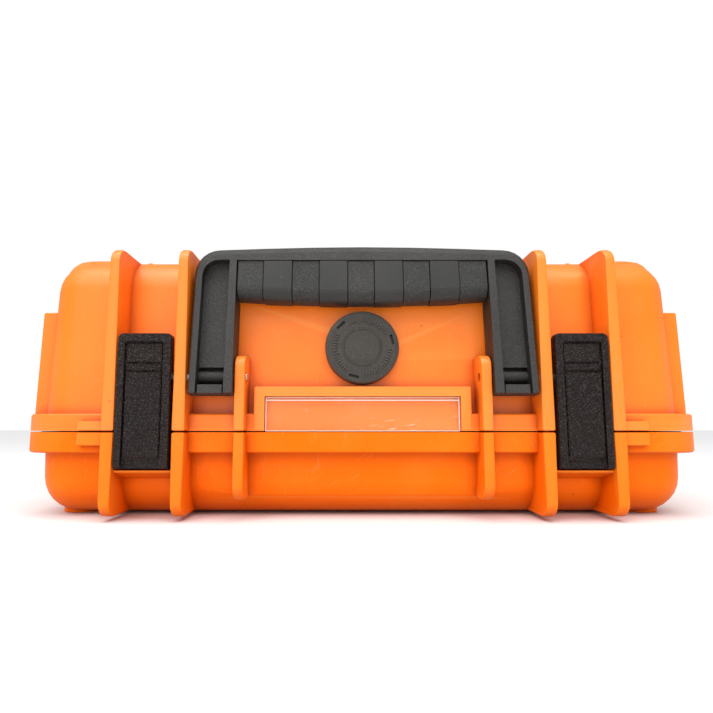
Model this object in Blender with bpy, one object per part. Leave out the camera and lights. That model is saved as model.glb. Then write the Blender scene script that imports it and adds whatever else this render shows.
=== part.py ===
"""Hard waterproof first aid case: two moulded shells joined by a rear hinge, with a folding
carrying handle, two latches, a pressure valve, a label window and dressings inside.

Sizes are in millimetres and the meshes are built in metres. +X is to the right, +Y to the
back, +Z up, and the origin is on the ground under the middle of the case. Most places are
given as (x, depth, height): depth counts back from the front plane of the ribs, and height
counts up from the parting line between the two shells.
"""
import math

import bmesh
import bpy
from mathutils import Vector

MM = 0.001
GAP = 0.3                     # clearance between neighbouring pieces

PARTING_Z = 40.0              # parting line above the ground

# Shells
HALF_WIDTH = 157.2            # outer wall at the parting line
WALL_FRONT = 12.8
WALL_BACK = 257.7
PLAN_RADIUS = 19.0            # upright corners of the shells
EDGE_RADIUS = 17.0            # edge between the walls and the flat panel
WALL = 3.0
DRAFT = math.tan(math.radians(2.0))
LID_HEIGHT = 87.0
BASE_HEIGHT = 39.0
CORNER_STEPS = 7
EDGE_STEPS = 7

# Flange around the parting line
FLANGE_HALF = 164.0
FLANGE_FRONT = 6.5
FLANGE_BACK = 264.0
FLANGE_RADIUS = 26.0
LID_FLANGE = 8.2
BASE_FLANGE = 9.8
FLANGE_EDGE = 0.7

# Seal in the base rim
SEAL_OFFSET = 1.1             # middle of the groove, outside the wall's outer face
SEAL_HALF = 1.4
SEAL_DEPTH = 2.5

# Ribs, lugs and other front details
RIB_X = (114.6, 82.9)
RIB_THICK = 6.0               # at the parting line
RIB_LID_TAPER = 1.5           # how much thinner the ribs are at the lid's top
RIB_BASE_TAPER = 1.0
RIB_LID_TOP = 85.7            # the ribs stop a little short of the panels
RIB_BASE_TOP = 38.0
RIB_NOSE = 7.0
RIB_ROOT = 24.0               # how far the ribs' roots reach into the shell, before it is hollowed
RIB_BEVEL = 0.9
LUG_X = 55.8
LUG_THICK = 4.8
LUG_TOP = 34.9
LUG_BOTTOM = 30.8
BOSS_X = (117.9, 129.7)
BOSS_FRONT = 3.2
BOSS_LID = 4.8
BOSS_BASE = 6.4
FIN_DEPTHS = (27.0, 92.0, 176.0, 241.0)
FIN_THICK = 4.2
FIN_TOP = 60.4
FIN_OUTER = (163.7, 162.1)    # at the flange and at the top

# Feet and stacking pads
PAD_X = (117.5, 154.5)
FOOT_X = (133.0, 149.5)
FIELD = (98.0, 92.0)          # half size of the sunk field in the top and in the underside
FIELD_SINK = 1.0
FIELD_CORNER = 14.0
PAD_DEPTH = (26.0, 72.0)
FOOT_DEPTH = (28.0, 66.0)
PAD_RISE = 3.0
FOOT_RISE = 1.0
PAD_RADIUS = 11.0
PAD_ROUND = 10.0              # rounding of the pads towards the case's outside
FOOT_ROUND = 0.8
RIDGE_X = 112.6
RIDGE_WIDTH = 3.2

# Front pins shared by the latches and the handle
PIN_DEPTH = 4.5
PIN_HEIGHT = 24.8
PIN_RADIUS = 1.9
PIN_ENDS = (52.9, 115.8)
PIN_STAGGER = 2.2             # how much deeper the right pin sits in its lug

# Label window
LABEL_HALF = 50.4
LABEL_TOP = 20.8
WINDOW_HALF = 45.3
WINDOW_LOW = 0.05
WINDOW_TOP = 16.2
WINDOW_SINK = 1.1
WINDOW_THICK = 1.3

# Pressure valve
VALVE_HEIGHT = 39.3
VALVE_RADIUS = 17.4
VALVE_PROUD = 6.6
VALVE_STEM = 6.0
VALVE_SEGMENTS = 48

# Rear hinge
HINGE_DEPTH = 270.7
HINGE_RADIUS = 6.0
HINGE_X = 98.75
HINGE_LID_HALF = 8.0
HINGE_HALF = 17.0
HINGE_PIN_RADIUS = 2.0

# Latch, measured from its pin
LATCH_X = 98.75
LATCH_HALF = 12.2
LATCH_TOP = 19.6
LATCH_BOTTOM = -41.4
LATCH_FRONT = -6.0
LATCH_PLATE = 4.4
LATCH_RAIL = 3.5
LATCH_RAIL_BACK = 1.6
LATCH_SINK = 1.3
LATCH_HOOK = 4.3
CATCH_TOP = -17.2
CATCH_POCKET = 9.3

# Handle, measured from its pin and along its own leaning plane
HANDLE_LEAN = math.radians(7.2)
HANDLE_FRONT = -7.44
HANDLE_BACK = 4.6
HANDLE_OUTER = (78.7, 79.0)   # half width at the foot and at the top
HANDLE_INNER = (58.5, 59.0)
HANDLE_FOOT = -8.6
HANDLE_TOP = 61.6
HANDLE_ARCH = 1.6
HANDLE_RADIUS = 11.5
HANDLE_RIM = 55.0             # underside of the top rim
WEB_SINK = 4.4
WEB_X = (62.3, 74.8)
BRIDGE_TOP = -4.7             # top of the block that joins an arm's two rails at its foot
BRIDGE_SLOT = 0.8
POCKET_BACK = 1.0             # back of the pocket around the pin's barrel
GRIP_HALF = 58.5
GRIP_SAG = 2.2                # how much lower the grip hangs in its middle
GRIP_BOTTOM = 37.0
BAND_RAISE = 0.35             # every second band of the grip
BAND_SEAM = 0.25
GRIP_SEAMS = (-46.4, -32.8, -20.2, -6.8, 5.6, 19.1, 31.6, 45.4)

# The case is centred front to back between the handle's feet and the hinge
CASE_FRONT = PIN_DEPTH + HANDLE_FRONT * math.cos(HANDLE_LEAN) + HANDLE_FOOT * math.sin(HANDLE_LEAN)
CASE_BACK = HINGE_DEPTH + HINGE_RADIUS
RIB_PLANE_Y = -(CASE_FRONT + CASE_BACK) / 2

# Contents
FLOOR = -BASE_HEIGHT + WALL
MAT_THICK = 3.0
DIVIDER_THICK = 4.0
DIVIDER_TOP = -3.0
FOAM_THICK = 22.0
DIVIDER_END = 134.0           # half length of the long divider
DIVIDER_MIDDLE = 134.0        # depth of the long divider
DIVIDER_X = (-48.0, 48.0)
DIVIDER_REACH = (33.0, 237.0)
ROLL_RADIUS = 20.0
ROLL_DEPTHS = (60.0, 104.0)
PACK_STEP = 7.4               # from one gauze pack to the next


def at(x, depth, height):
    """Turn (x, depth, height) in millimetres into a world point in metres."""
    return Vector((x, RIB_PLANE_Y + depth, PARTING_Z + height)) * MM


def local(x, depth, height):
    """A point in a piece's own frame, in metres."""
    return Vector((x, depth, height)) * MM


def wall_depth(height):
    """Depth of the front wall's outer face at a height."""
    return WALL_FRONT + DRAFT * abs(height)


# ---------------------------------------------------------------- mesh helpers

def clear_scene():
    for item in list(bpy.data.objects):
        bpy.data.objects.remove(item)


def make_material(name, colour, roughness, metallic=0.0, alpha=1.0):
    material = bpy.data.materials.new(name)
    material.use_nodes = True
    shader = material.node_tree.nodes["Principled BSDF"]
    shader.inputs["Base Color"].default_value = (*colour, 1.0)
    shader.inputs["Roughness"].default_value = roughness
    shader.inputs["Metallic"].default_value = metallic
    shader.inputs["Alpha"].default_value = alpha
    return material


def new_object(name, mesh_data, material=None):
    """Finish a bmesh as a named object with faces pointing out."""
    bmesh.ops.recalc_face_normals(mesh_data, faces=mesh_data.faces)
    mesh = bpy.data.meshes.new(name)
    mesh_data.to_mesh(mesh)
    mesh_data.free()
    piece = bpy.data.objects.new(name, mesh)
    bpy.context.scene.collection.objects.link(piece)
    if material:
        mesh.materials.append(material)
    return piece


def loft(name, loops, material=None):
    """Closed solid through loops that all have the same number of points."""
    mesh_data = bmesh.new()
    rings = [[mesh_data.verts.new(point) for point in loop] for loop in loops]
    count = len(rings[0])
    for low, high in zip(rings, rings[1:]):
        for i in range(count):
            j = (i + 1) % count
            mesh_data.faces.new((low[i], low[j], high[j], high[i]))
    mesh_data.faces.new(list(reversed(rings[0])))
    mesh_data.faces.new(rings[-1])
    return new_object(name, mesh_data, material)


def closed_ring(name, loops, material=None):
    """Closed ring-shaped solid: the last loop joins the first one again."""
    mesh_data = bmesh.new()
    rings = [[mesh_data.verts.new(point) for point in loop] for loop in loops]
    count = len(rings[0])
    for low, high in zip(rings, rings[1:] + rings[:1]):
        for i in range(count):
            j = (i + 1) % count
            mesh_data.faces.new((low[i], low[j], high[j], high[i]))
    return new_object(name, mesh_data, material)


def box(name, low, high, place=at, material=None):
    """Box between two corners."""
    (x0, y0, z0), (x1, y1, z1) = low, high
    loops = []
    for z in (z0, z1):
        loops.append([place(x0, y0, z), place(x1, y0, z), place(x1, y1, z), place(x0, y1, z)])
    return loft(name, loops, material)


def bar_x(name, profile, x_low, x_high, place=at, material=None):
    """Prism along X. x_low and x_high are numbers, or functions of the height."""
    loops = []
    for x in (x_low, x_high):
        loops.append([place(x(z) if callable(x) else x, y, z) for y, z in profile])
    return loft(name, loops, material)


def circle(radius, steps, centre=(0.0, 0.0)):
    turn = 2 * math.pi / steps
    points = []
    for i in range(steps):
        points.append((centre[0] + radius * math.cos(turn * i),
                       centre[1] + radius * math.sin(turn * i)))
    return points


def arc(centre, radius, start, end, steps):
    """Points of an arc between two angles in degrees."""
    points = []
    for i in range(steps + 1):
        angle = math.radians(start + (end - start) * i / steps)
        points.append((centre[0] + radius * math.cos(angle),
                       centre[1] + radius * math.sin(angle)))
    return points


def turned(name, profile, steps, place=local, material=None):
    """Closed solid of revolution about the Y axis; profile holds (radius, depth) pairs."""
    loops = []
    for i in range(steps):
        angle = 2 * math.pi * i / steps
        loops.append([place(r * math.cos(angle), depth, r * math.sin(angle)) for r, depth in profile])
    return closed_ring(name, loops, material)


def disc(name, radius, low, high, steps, place=local, material=None):
    """Solid disc about the Y axis."""
    loops = []
    for depth in (low, high):
        loops.append([place(x, depth, z) for x, z in circle(radius, steps)])
    return loft(name, loops, material)


def combine(target, tool, operation):
    """Boolean the tool into the target, then remove the tool."""
    modifier = target.modifiers.new(operation, "BOOLEAN")
    modifier.operation = operation
    modifier.solver = "EXACT"
    modifier.object = tool
    settle(target)
    bpy.data.objects.remove(tool)


def settle(target):
    """Replace the object's mesh by its evaluated mesh."""
    depsgraph = bpy.context.evaluated_depsgraph_get()
    mesh = bpy.data.meshes.new_from_object(target.evaluated_get(depsgraph))
    target.modifiers.clear()
    target.data = mesh


def add(target, tool):
    combine(target, tool, "UNION")


def cut(target, tool):
    combine(target, tool, "DIFFERENCE")


def bevel(target, width, segments=2, angle=40.0):
    """Round the sharp edges of a piece."""
    modifier = target.modifiers.new("Edges", "BEVEL")
    modifier.width = width * MM
    modifier.segments = segments
    modifier.limit_method = "ANGLE"
    modifier.angle_limit = math.radians(angle)
    settle(target)


def smooth(target, angle=35.0):
    target.data.shade_smooth()
    target.data.set_sharp_from_angle(angle=math.radians(angle))


def merge_close(target):
    """Weld points closer than a hundredth of a millimetre."""
    mesh_data = bmesh.new()
    mesh_data.from_mesh(target.data)
    bmesh.ops.remove_doubles(mesh_data, verts=mesh_data.verts, dist=0.01 * MM)
    bmesh.ops.dissolve_degenerate(mesh_data, edges=mesh_data.edges, dist=0.005 * MM)
    mesh_data.to_mesh(target.data)
    mesh_data.free()


# ---------------------------------------------------------------- shells

def outline(half_width, front, back, radius, height):
    """Rounded rectangle at one height."""
    corners = (
        (half_width - radius, back - radius, 0),
        (radius - half_width, back - radius, 90),
        (radius - half_width, front + radius, 180),
        (half_width - radius, front + radius, 270),
    )
    points = []
    for x, depth, start in corners:
        points += [at(px, py, height) for px, py in arc((x, depth), radius, start, start + 90, CORNER_STEPS)]
    return points


def shell_outline(inset, height):
    """The shells' outline at a height, moved inward by inset."""
    radius = max(PLAN_RADIUS - inset, 1.0)
    return outline(HALF_WIDTH - inset, WALL_FRONT + inset, WALL_BACK - inset, radius, height)


def shell_loops(side, start, end, inset, edge):
    """Loops of a drafted wall that ends in a quarter-round edge. side is 1 up or -1 down."""
    loops = [shell_outline(inset + DRAFT * start, side * start)]
    for i in range(EDGE_STEPS + 1):
        angle = math.radians(90 * i / EDGE_STEPS)
        height = end - edge + edge * math.sin(angle)
        loops.append(shell_outline(inset + DRAFT * height + edge * (1 - math.cos(angle)), side * height))
    return loops


def add_rib(shell, side, x, height, taper):
    """Upright rib from the parting line to the shell's flat panel."""
    back = WALL_FRONT + RIB_ROOT
    start = side * GAP
    nose = arc((RIB_NOSE, side * (height - RIB_NOSE)), RIB_NOSE, 180, 180 - side * 90, 4)
    profile = [(back, start), (0.0, start)] + nose + [(back, side * height)]

    def face(sign):
        return lambda z: x + sign * (RIB_THICK - taper * abs(z) / height) / 2

    rib = bar_x("rib", profile, face(-1), face(1))
    bevel(rib, RIB_BEVEL)
    add(shell, rib)


def add_back_rib(shell, side, x, height):
    """Rear rib, flush with the flange."""
    front = WALL_BACK - RIB_ROOT
    back = FLANGE_BACK - GAP
    nose = arc((back - RIB_NOSE, side * (height - RIB_NOSE)), RIB_NOSE, 0, side * 90, 4)
    profile = [(front, side * GAP), (back, side * GAP)] + nose + [(front, side * height)]
    rib = bar_x("rib", profile, x - RIB_THICK / 2, x + RIB_THICK / 2)
    bevel(rib, RIB_BEVEL)
    add(shell, rib)


def add_flange(shell, side, thickness):
    """Flange around the parting line, with a small rounded edge away from it."""
    loops = []
    for height, inset in ((GAP, 0.0), (thickness - FLANGE_EDGE, 0.0), (thickness, FLANGE_EDGE)):
        loops.append(outline(FLANGE_HALF - inset, FLANGE_FRONT + inset, FLANGE_BACK - inset,
                             FLANGE_RADIUS - inset, side * height))
    add(shell, loft("flange", loops))


def add_bosses(shell, side, height):
    """Locating bosses on the flange, beside the outer ribs."""
    for mirror in (-1, 1):
        low, high = sorted((mirror * BOSS_X[0], mirror * BOSS_X[1]))
        boss = box("boss", (low, BOSS_FRONT, side * GAP), (high, WALL_FRONT, side * height))
        bevel(boss, 0.8)
        add(shell, boss)


def add_pad(shell, side, x_range, depths, top, rounding):
    """Raised pads at the four corners of the flat panel, rounded most towards the outside."""
    middle = (WALL_FRONT + WALL_BACK) / 2
    steps = 5
    sections = [(top - 19.0, 0.0)]
    for i in range(steps + 1):
        angle = math.radians(90 * i / steps)
        sections.append((top - rounding * (1 - math.sin(angle)), rounding * (1 - math.cos(angle))))
    for mirror_x in (-1, 1):
        for mirror_y in (-1, 1):
            loops = []
            for height, inset in sections:
                inner = inset * 0.3
                low_x, high_x = x_range[0] + inner, x_range[1] - inset
                near, far = depths[0] + inset, depths[1] - inner
                centre = (mirror_x * (low_x + high_x) / 2, middle + mirror_y * (middle - (near + far) / 2))
                half, reach = (high_x - low_x) / 2, (far - near) / 2
                corner = min(PAD_RADIUS, half - 0.5) - 0.6 * inset
                loops.append(pad_outline(centre, half, reach, corner, side * height))
            add(shell, loft("pad", loops))


def pad_outline(centre, half, reach, radius, height):
    points = []
    corners = ((1, 1, 0), (-1, 1, 90), (-1, -1, 180), (1, -1, 270))
    for sx, sy, start in corners:
        middle = (centre[0] + sx * (half - radius), centre[1] + sy * (reach - radius))
        points += [at(px, py, height) for px, py in arc(middle, radius, start, start + 90, 3)]
    return points


def cut_field(shell, side, level):
    """Shallow sunk field in the flat panel."""
    middle = (WALL_FRONT + WALL_BACK) / 2
    loops = []
    for height, inset in ((level - FIELD_SINK, 1.0), (level + 0.5, -0.5)):
        loops.append(pad_outline((0.0, middle), FIELD[0] - inset, FIELD[1] - inset, FIELD_CORNER, side * height))
    cut(shell, loft("field", loops))


def add_hinge_knuckle(shell, side, low, high):
    """Knuckle around the hinge pin, with its arm back to the flange."""
    start = 180 - side * 20
    profile = arc((HINGE_DEPTH, 0.0), HINGE_RADIUS, start, start + side * 290, 14)
    profile += [(WALL_BACK - 2.0, side * 8.0), (WALL_BACK - 2.0, side * 2.2)]
    knuckle = bar_x("knuckle", profile, low, high)
    add(shell, knuckle)


def cut_hinge_hole(shell):
    for mirror in (-1, 1):
        x = mirror * HINGE_X
        hole = circle(HINGE_PIN_RADIUS + GAP, 20, (HINGE_DEPTH, 0.0))
        cut(shell, bar_x("hole", hole, x - HINGE_HALF - 4.0, x + HINGE_HALF + 4.0))


def cut_cavity(shell, side, height):
    loops = shell_loops(side, 0.0, height - WALL, WALL, EDGE_RADIUS - WALL)
    loops[0] = shell_outline(WALL, -side * 2.0)
    cut(shell, loft("cavity", loops))


def build_lid_shell(material):
    """Deep upper shell, open below."""
    lid = loft("lid_shell", shell_loops(1, GAP, LID_HEIGHT, 0.0, EDGE_RADIUS), material)
    add_flange(lid, 1, LID_FLANGE)
    for mirror in (-1, 1):
        for x in RIB_X:
            add_rib(lid, 1, mirror * x, RIB_LID_TOP, RIB_LID_TAPER)
            add_back_rib(lid, 1, mirror * x, RIB_LID_TOP)
        add_lid_lug(lid, mirror)
        for depth in FIN_DEPTHS:
            add_fin(lid, mirror, depth)
        add_ridge(lid, mirror)
        add_hinge_knuckle(lid, 1, mirror * HINGE_X - HINGE_LID_HALF, mirror * HINGE_X + HINGE_LID_HALF)
    add_bosses(lid, 1, BOSS_LID)
    add_pad(lid, 1, PAD_X, PAD_DEPTH, LID_HEIGHT + PAD_RISE, PAD_ROUND)
    add_label_frame(lid)
    cut_field(lid, 1, LID_HEIGHT)
    cut_cavity(lid, 1, LID_HEIGHT)
    cut_hinge_hole(lid)
    cut_pin_holes(lid)
    cut_valve_hole(lid)
    cut_label_slot(lid)
    merge_close(lid)
    smooth(lid)
    return lid


def build_base_shell(material):
    """Shallow lower shell, open above."""
    base = loft("base_shell", shell_loops(-1, GAP, BASE_HEIGHT, 0.0, EDGE_RADIUS), material)
    add_flange(base, -1, BASE_FLANGE)
    for mirror in (-1, 1):
        cut_catch_pocket(base, mirror)
        for x in RIB_X:
            add_rib(base, -1, mirror * x, RIB_BASE_TOP, RIB_BASE_TAPER)
            add_back_rib(base, -1, mirror * x, RIB_BASE_TOP)
        add_base_lug(base, mirror)
        add_catch(base, mirror)
        for sign in (-1, 1):
            inner = mirror * HINGE_X + sign * (HINGE_LID_HALF + 0.5)
            outer = mirror * HINGE_X + sign * HINGE_HALF
            add_hinge_knuckle(base, -1, min(inner, outer), max(inner, outer))
    add_bosses(base, -1, BOSS_BASE)
    add_pad(base, -1, FOOT_X, FOOT_DEPTH, BASE_HEIGHT + FOOT_RISE, FOOT_ROUND)
    cut_field(base, -1, BASE_HEIGHT)
    cut_cavity(base, -1, BASE_HEIGHT)
    cut_hinge_hole(base)
    cut_seal_groove(base)
    merge_close(base)
    smooth(base)
    return base


def add_lid_lug(shell, mirror):
    """Lug that holds the inner end of the front pin."""
    x = mirror * LUG_X
    nose = arc((5.5, LUG_TOP - 5.5), 5.5, 180, 90, 4)
    profile = [(WALL_FRONT + 3.5, GAP), (0.0, GAP)] + nose + [(WALL_FRONT + 3.5, LUG_TOP)]
    lug = bar_x("lug", profile, x - LUG_THICK / 2, x + LUG_THICK / 2)
    bevel(lug, 0.8)
    add(shell, lug)


def add_base_lug(shell, mirror):
    """The lug's lower half, which fades into the base."""
    x = mirror * LUG_X
    foot = arc((8.0, 8.0 - LUG_BOTTOM), 8.0, 180, 270, 4)
    profile = [(WALL_FRONT + 3.5, -GAP), (0.0, -GAP)] + foot + [(WALL_FRONT + 3.5, -LUG_BOTTOM)]
    lug = bar_x("lug", profile, x - LUG_THICK / 2, x + LUG_THICK / 2)
    bevel(lug, 0.8)
    add(shell, lug)


def add_fin(shell, mirror, depth):
    """Upright fin on the lid's side wall."""
    inner = mirror * (HALF_WIDTH - 5.5)
    foot = mirror * FIN_OUTER[0]
    top = mirror * FIN_OUTER[1]
    profile = [(inner, GAP + 4.0), (foot, GAP + 4.0), (top, FIN_TOP), (inner, FIN_TOP)]
    loops = [[at(x, d, z) for x, z in profile] for d in (depth, depth + FIN_THICK)]
    fin = loft("fin", loops)
    bevel(fin, 0.6, 1)
    add(shell, fin)


def add_ridge(shell, mirror):
    """Stacking ridges on the lid's top, at the front and at the back."""
    middle = (WALL_FRONT + WALL_BACK) / 2
    for sign in (-1, 1):
        depths = sorted((middle + sign * (middle - 37.0), middle + sign * (middle - 76.0)))
        low = (mirror * RIDGE_X - RIDGE_WIDTH / 2, depths[0], LID_HEIGHT - 2.0)
        high = (mirror * RIDGE_X + RIDGE_WIDTH / 2, depths[1], LID_HEIGHT + PAD_RISE)
        ridge = box("ridge", low, high)
        bevel(ridge, 0.7, 1)
        add(shell, ridge)


def add_label_frame(shell):
    """Raised block that frames the label window."""
    block = box("label", (-LABEL_HALF, FLANGE_FRONT - 0.2, GAP), (LABEL_HALF, WALL_FRONT + 3.0, LABEL_TOP))
    bevel(block, 0.8)
    add(shell, block)


def cut_label_slot(shell):
    """Pocket for the window, open at the parting line."""
    back = FLANGE_FRONT - 0.2 + WINDOW_SINK + WINDOW_THICK + GAP
    cut(shell, box("slot", (-WINDOW_HALF, 0.0, -1.0), (WINDOW_HALF, back, WINDOW_TOP)))


def cut_pin_holes(shell):
    for mirror in (-1, 1):
        low, high = sorted((mirror * (LUG_X - 8.0), mirror * (PIN_ENDS[1] + GAP)))
        cut(shell, bar_x("hole", circle(PIN_RADIUS + GAP, 16, (PIN_DEPTH, PIN_HEIGHT)), low, high))


def cut_valve_hole(shell):
    steps = 24
    hole = disc("hole", VALVE_STEM + GAP, -4.0, 8.0, steps)
    place_on_wall(hole)
    cut(shell, hole)


def cut_catch_pocket(shell, mirror):
    """Room for the latch's hook in the base's flange."""
    low, high = sorted((mirror * RIB_X[0], mirror * RIB_X[1]))
    cut(shell, box("pocket", (low, 0.0, -BASE_FLANGE - 1.0), (high, CATCH_POCKET, 1.0)))


def add_catch(shell, mirror):
    """Bar between the two outer ribs, under the latch's foot."""
    low, high = sorted((mirror * RIB_X[0], mirror * RIB_X[1]))
    profile = [(2.2, CATCH_TOP), (WALL_FRONT + 2.0, CATCH_TOP), (WALL_FRONT + 2.0, CATCH_TOP - 5.0),
               (4.5, CATCH_TOP - 1.8), (2.2, CATCH_TOP - 0.9)]
    add(shell, bar_x("catch", profile, low, high))


def seal_outline(offset, height):
    return shell_outline(-offset, height)


def cut_seal_groove(shell):
    wide = SEAL_HALF + GAP
    loops = [seal_outline(SEAL_OFFSET + wide, 1.0), seal_outline(SEAL_OFFSET - wide, 1.0),
             seal_outline(SEAL_OFFSET - wide, -GAP - SEAL_DEPTH - GAP),
             seal_outline(SEAL_OFFSET + wide, -GAP - SEAL_DEPTH - GAP)]
    cut(shell, closed_ring("groove", loops))


def build_gasket(material):
    low = -GAP - SEAL_DEPTH
    inner = SEAL_OFFSET - SEAL_HALF
    outer = SEAL_OFFSET + SEAL_HALF
    loops = [seal_outline(outer, low), seal_outline(outer, -0.8), seal_outline(outer - 0.8, 0.0),
             seal_outline(inner + 0.8, 0.0), seal_outline(inner, -0.8), seal_outline(inner, low)]
    gasket = closed_ring("gasket", loops, material)
    smooth(gasket)


# ---------------------------------------------------------------- small lid pieces

def place_on_wall(piece):
    """Stand a turned piece square on the front wall, at the valve's centre."""
    piece.location = at(0.0, wall_depth(VALVE_HEIGHT), VALVE_HEIGHT)
    piece.rotation_euler = (-math.atan(DRAFT), 0.0, 0.0)
    bpy.context.view_layer.update()


def build_window(material):
    front = FLANGE_FRONT - 0.2 + WINDOW_SINK
    half = WINDOW_HALF - GAP
    window = box("label_window", (-half, front, WINDOW_LOW), (half, front + WINDOW_THICK, WINDOW_TOP - GAP),
                 material=material)
    bevel(window, 0.25, 1)


def build_valve_cap(material):
    """Round cap: a rim, a flat annulus and a worn centre disc inside a fine ring."""
    front = -VALVE_PROUD
    back = -GAP
    r = VALVE_RADIUS
    profile = [(0.4, front), (8.2, front), (8.5, front - 0.35), (9.0, front - 0.35), (9.3, front),
               (15.6, front), (r - 0.5, front + 0.4), (r, front + 1.4), (r, back),
               (14.6, back), (14.6, back - 3.4), (0.4, back - 3.4)]
    cap = turned("valve_cap", profile, VALVE_SEGMENTS, material=material)
    add(cap, disc("core", 3.0, front + 0.01, back - 3.41, 16))
    for angle in (14, 134, 254):
        cut(cap, vent_slot(math.radians(angle), front))
    place_on_wall(cap)
    smooth(cap)


def vent_slot(angle, front):
    """Slot-shaped cutter across the cap's annulus."""
    half_length = 2.4
    half_width = 0.6
    radius = 14.4
    out = Vector((math.cos(angle), math.sin(angle)))
    along = Vector((-out.y, out.x))
    corners = []
    for a, b in ((-1, -1), (1, -1), (1, 1), (-1, 1)):
        corners.append(out * (radius + b * half_width) + along * a * half_length)
    loops = [[local(c.x, depth, c.y) for c in corners] for depth in (front - 2.0, front + 1.6)]
    return loft("slot", loops)


def build_valve_body(material):
    """Flanged stem through the wall, with a breathing bore."""
    profile = [(2.2, -2.9), (12.0, -2.9), (12.0, -1.6), (VALVE_STEM, -1.6), (VALVE_STEM, 10.0), (2.2, 10.0)]
    body = turned("valve_body", profile, 32, material=material)
    place_on_wall(body)
    smooth(body)


def build_valve_seal(material):
    """O-ring between the stem's flange and the wall."""
    loops = []
    steps = 28
    for i in range(steps):
        angle = 2 * math.pi * i / steps
        ring = circle(0.5, 6, (8.6, -0.8))
        loops.append([local(r * math.cos(angle), y, r * math.sin(angle)) for r, y in ring])
    seal = closed_ring("valve_o_ring", loops, material)
    place_on_wall(seal)
    smooth(seal)


def build_valve_membrane(material):
    """Breathing membrane in front of the bore."""
    membrane = disc("valve_membrane", 5.0, -3.6, -3.15, 24, material=material)
    place_on_wall(membrane)
    smooth(membrane)


def build_valve_nut(material):
    """Hexagonal nut inside the lid."""
    low = WALL + GAP
    nut = disc("valve_nut", 10.5, low, low + 4.0, 6, material=material)
    bevel(nut, 0.5, 1)
    cut(nut, disc("hole", VALVE_STEM + GAP, low - 1.0, low + 6.0, 24))
    place_on_wall(nut)
    smooth(nut, 25.0)


def build_front_pin(name, mirror, inner, material):
    """Steel pin through the outer ribs, the latch, the handle's arm and the lug."""
    low, high = sorted((mirror * inner, mirror * PIN_ENDS[1]))
    pin = bar_x(name, circle(PIN_RADIUS, 16, (PIN_DEPTH, PIN_HEIGHT)), low, high, material=material)
    smooth(pin)


def build_hinge_pin(name, mirror, material):
    x = mirror * HINGE_X
    ends = HINGE_HALF - 0.6
    pin = bar_x(name, circle(HINGE_PIN_RADIUS, 16, (HINGE_DEPTH, 0.0)), x - ends, x + ends, material=material)
    smooth(pin)


# ---------------------------------------------------------------- latch

def build_latch(name, mirror, material):
    """One-piece latch that turns on the front pin."""
    latch = loft(name, latch_plate_loops(), material)
    rail_top = -2.0
    for sign in (-1, 1):
        low, high = sorted((sign * LATCH_HALF, sign * (LATCH_HALF - LATCH_RAIL)))
        profile = [(LATCH_FRONT + 1.0, rail_top), (LATCH_FRONT + 1.0, LATCH_BOTTOM + 0.4),
                   (LATCH_RAIL_BACK - 2.0, LATCH_BOTTOM), (LATCH_RAIL_BACK, LATCH_BOTTOM + 2.5),
                   (LATCH_RAIL_BACK, rail_top)]
        add(latch, bar_x("rail", profile, low + 0.02, high - 0.02, place=local))
    add(latch, bar_x("boss", circle(PIN_RADIUS + 2.0, 20), -LATCH_HALF + 0.05, LATCH_HALF - 0.05, place=local))
    half = LATCH_HALF - LATCH_RAIL
    window = box("sink", (-half, -20.0, LATCH_BOTTOM - 2.0), (half, LATCH_FRONT + LATCH_SINK, LATCH_TOP - 3.9),
                 place=local)
    bevel(window, 0.8, 2)
    cut(latch, window)
    inner = half - 0.6
    panel = loft("panel", latch_panel_loops(inner))
    add(latch, panel)
    bar = box("bar", (-inner, LATCH_FRONT + 0.5, 2.4), (inner, LATCH_FRONT + 3.0, 5.6), place=local)
    bevel(bar, 0.4, 1)
    add(latch, bar)
    pad = box("pad", (-inner, LATCH_FRONT + 0.7, 6.3), (inner, LATCH_FRONT + 3.0, LATCH_TOP - 4.6), place=local)
    bevel(pad, 0.5, 2)
    add(latch, pad)
    hook = [(LATCH_FRONT + 2.0, -39.0), (LATCH_HOOK - 1.0, -39.0), (LATCH_HOOK, -38.0),
            (LATCH_HOOK, -36.2), (LATCH_FRONT + 2.0, -35.0)]
    add(latch, bar_x("hook", hook, -LATCH_HALF + 1.5, LATCH_HALF - 1.5, place=local))
    cut(latch, bar_x("hole", circle(PIN_RADIUS + GAP, 16), -20.0, 20.0, place=local))
    merge_close(latch)
    latch.location = at(mirror * LATCH_X, PIN_DEPTH, PIN_HEIGHT)
    smooth(latch)


def latch_plate_loops():
    """Front plate with rounded upper corners and a rounded front edge."""
    loops = []
    for depth, inset in ((LATCH_FRONT, 0.9), (LATCH_FRONT + 0.3, 0.3), (LATCH_FRONT + 0.9, 0.0),
                         (LATCH_FRONT + LATCH_PLATE, 0.0)):
        half = LATCH_HALF - inset
        top = LATCH_TOP - inset
        radius = 2.4 - inset
        low = LATCH_BOTTOM + 0.4 + inset
        edge = [(half, low + 1.2), (half - 1.2, low), (1.2 - half, low), (-half, low + 1.2)]
        edge += arc((radius - half, top - radius), radius, 180, 90, 4)
        edge += arc((half - radius, top - radius), radius, 90, 0, 4)
        loops.append([local(x, depth, z) for x, z in edge])
    return loops


def latch_panel_loops(half):
    """Long raised panel of the latch, with a chamfered foot."""
    loops = []
    top = 1.6
    foot = -35.7
    for depth, inset in ((LATCH_FRONT + 0.1, 0.5), (LATCH_FRONT + 0.6, 0.0), (LATCH_FRONT + 3.0, 0.0)):
        lowest = foot - 4.0 if inset == 0.0 else foot
        if depth == LATCH_FRONT + 0.6:
            lowest = foot - 0.6
        corners = [(half - inset, lowest), (half - inset, top - inset), (inset - half, top - inset),
                   (inset - half, lowest)]
        loops.append([local(x, depth, z) for x, z in corners])
    return loops


# ---------------------------------------------------------------- handle

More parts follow.
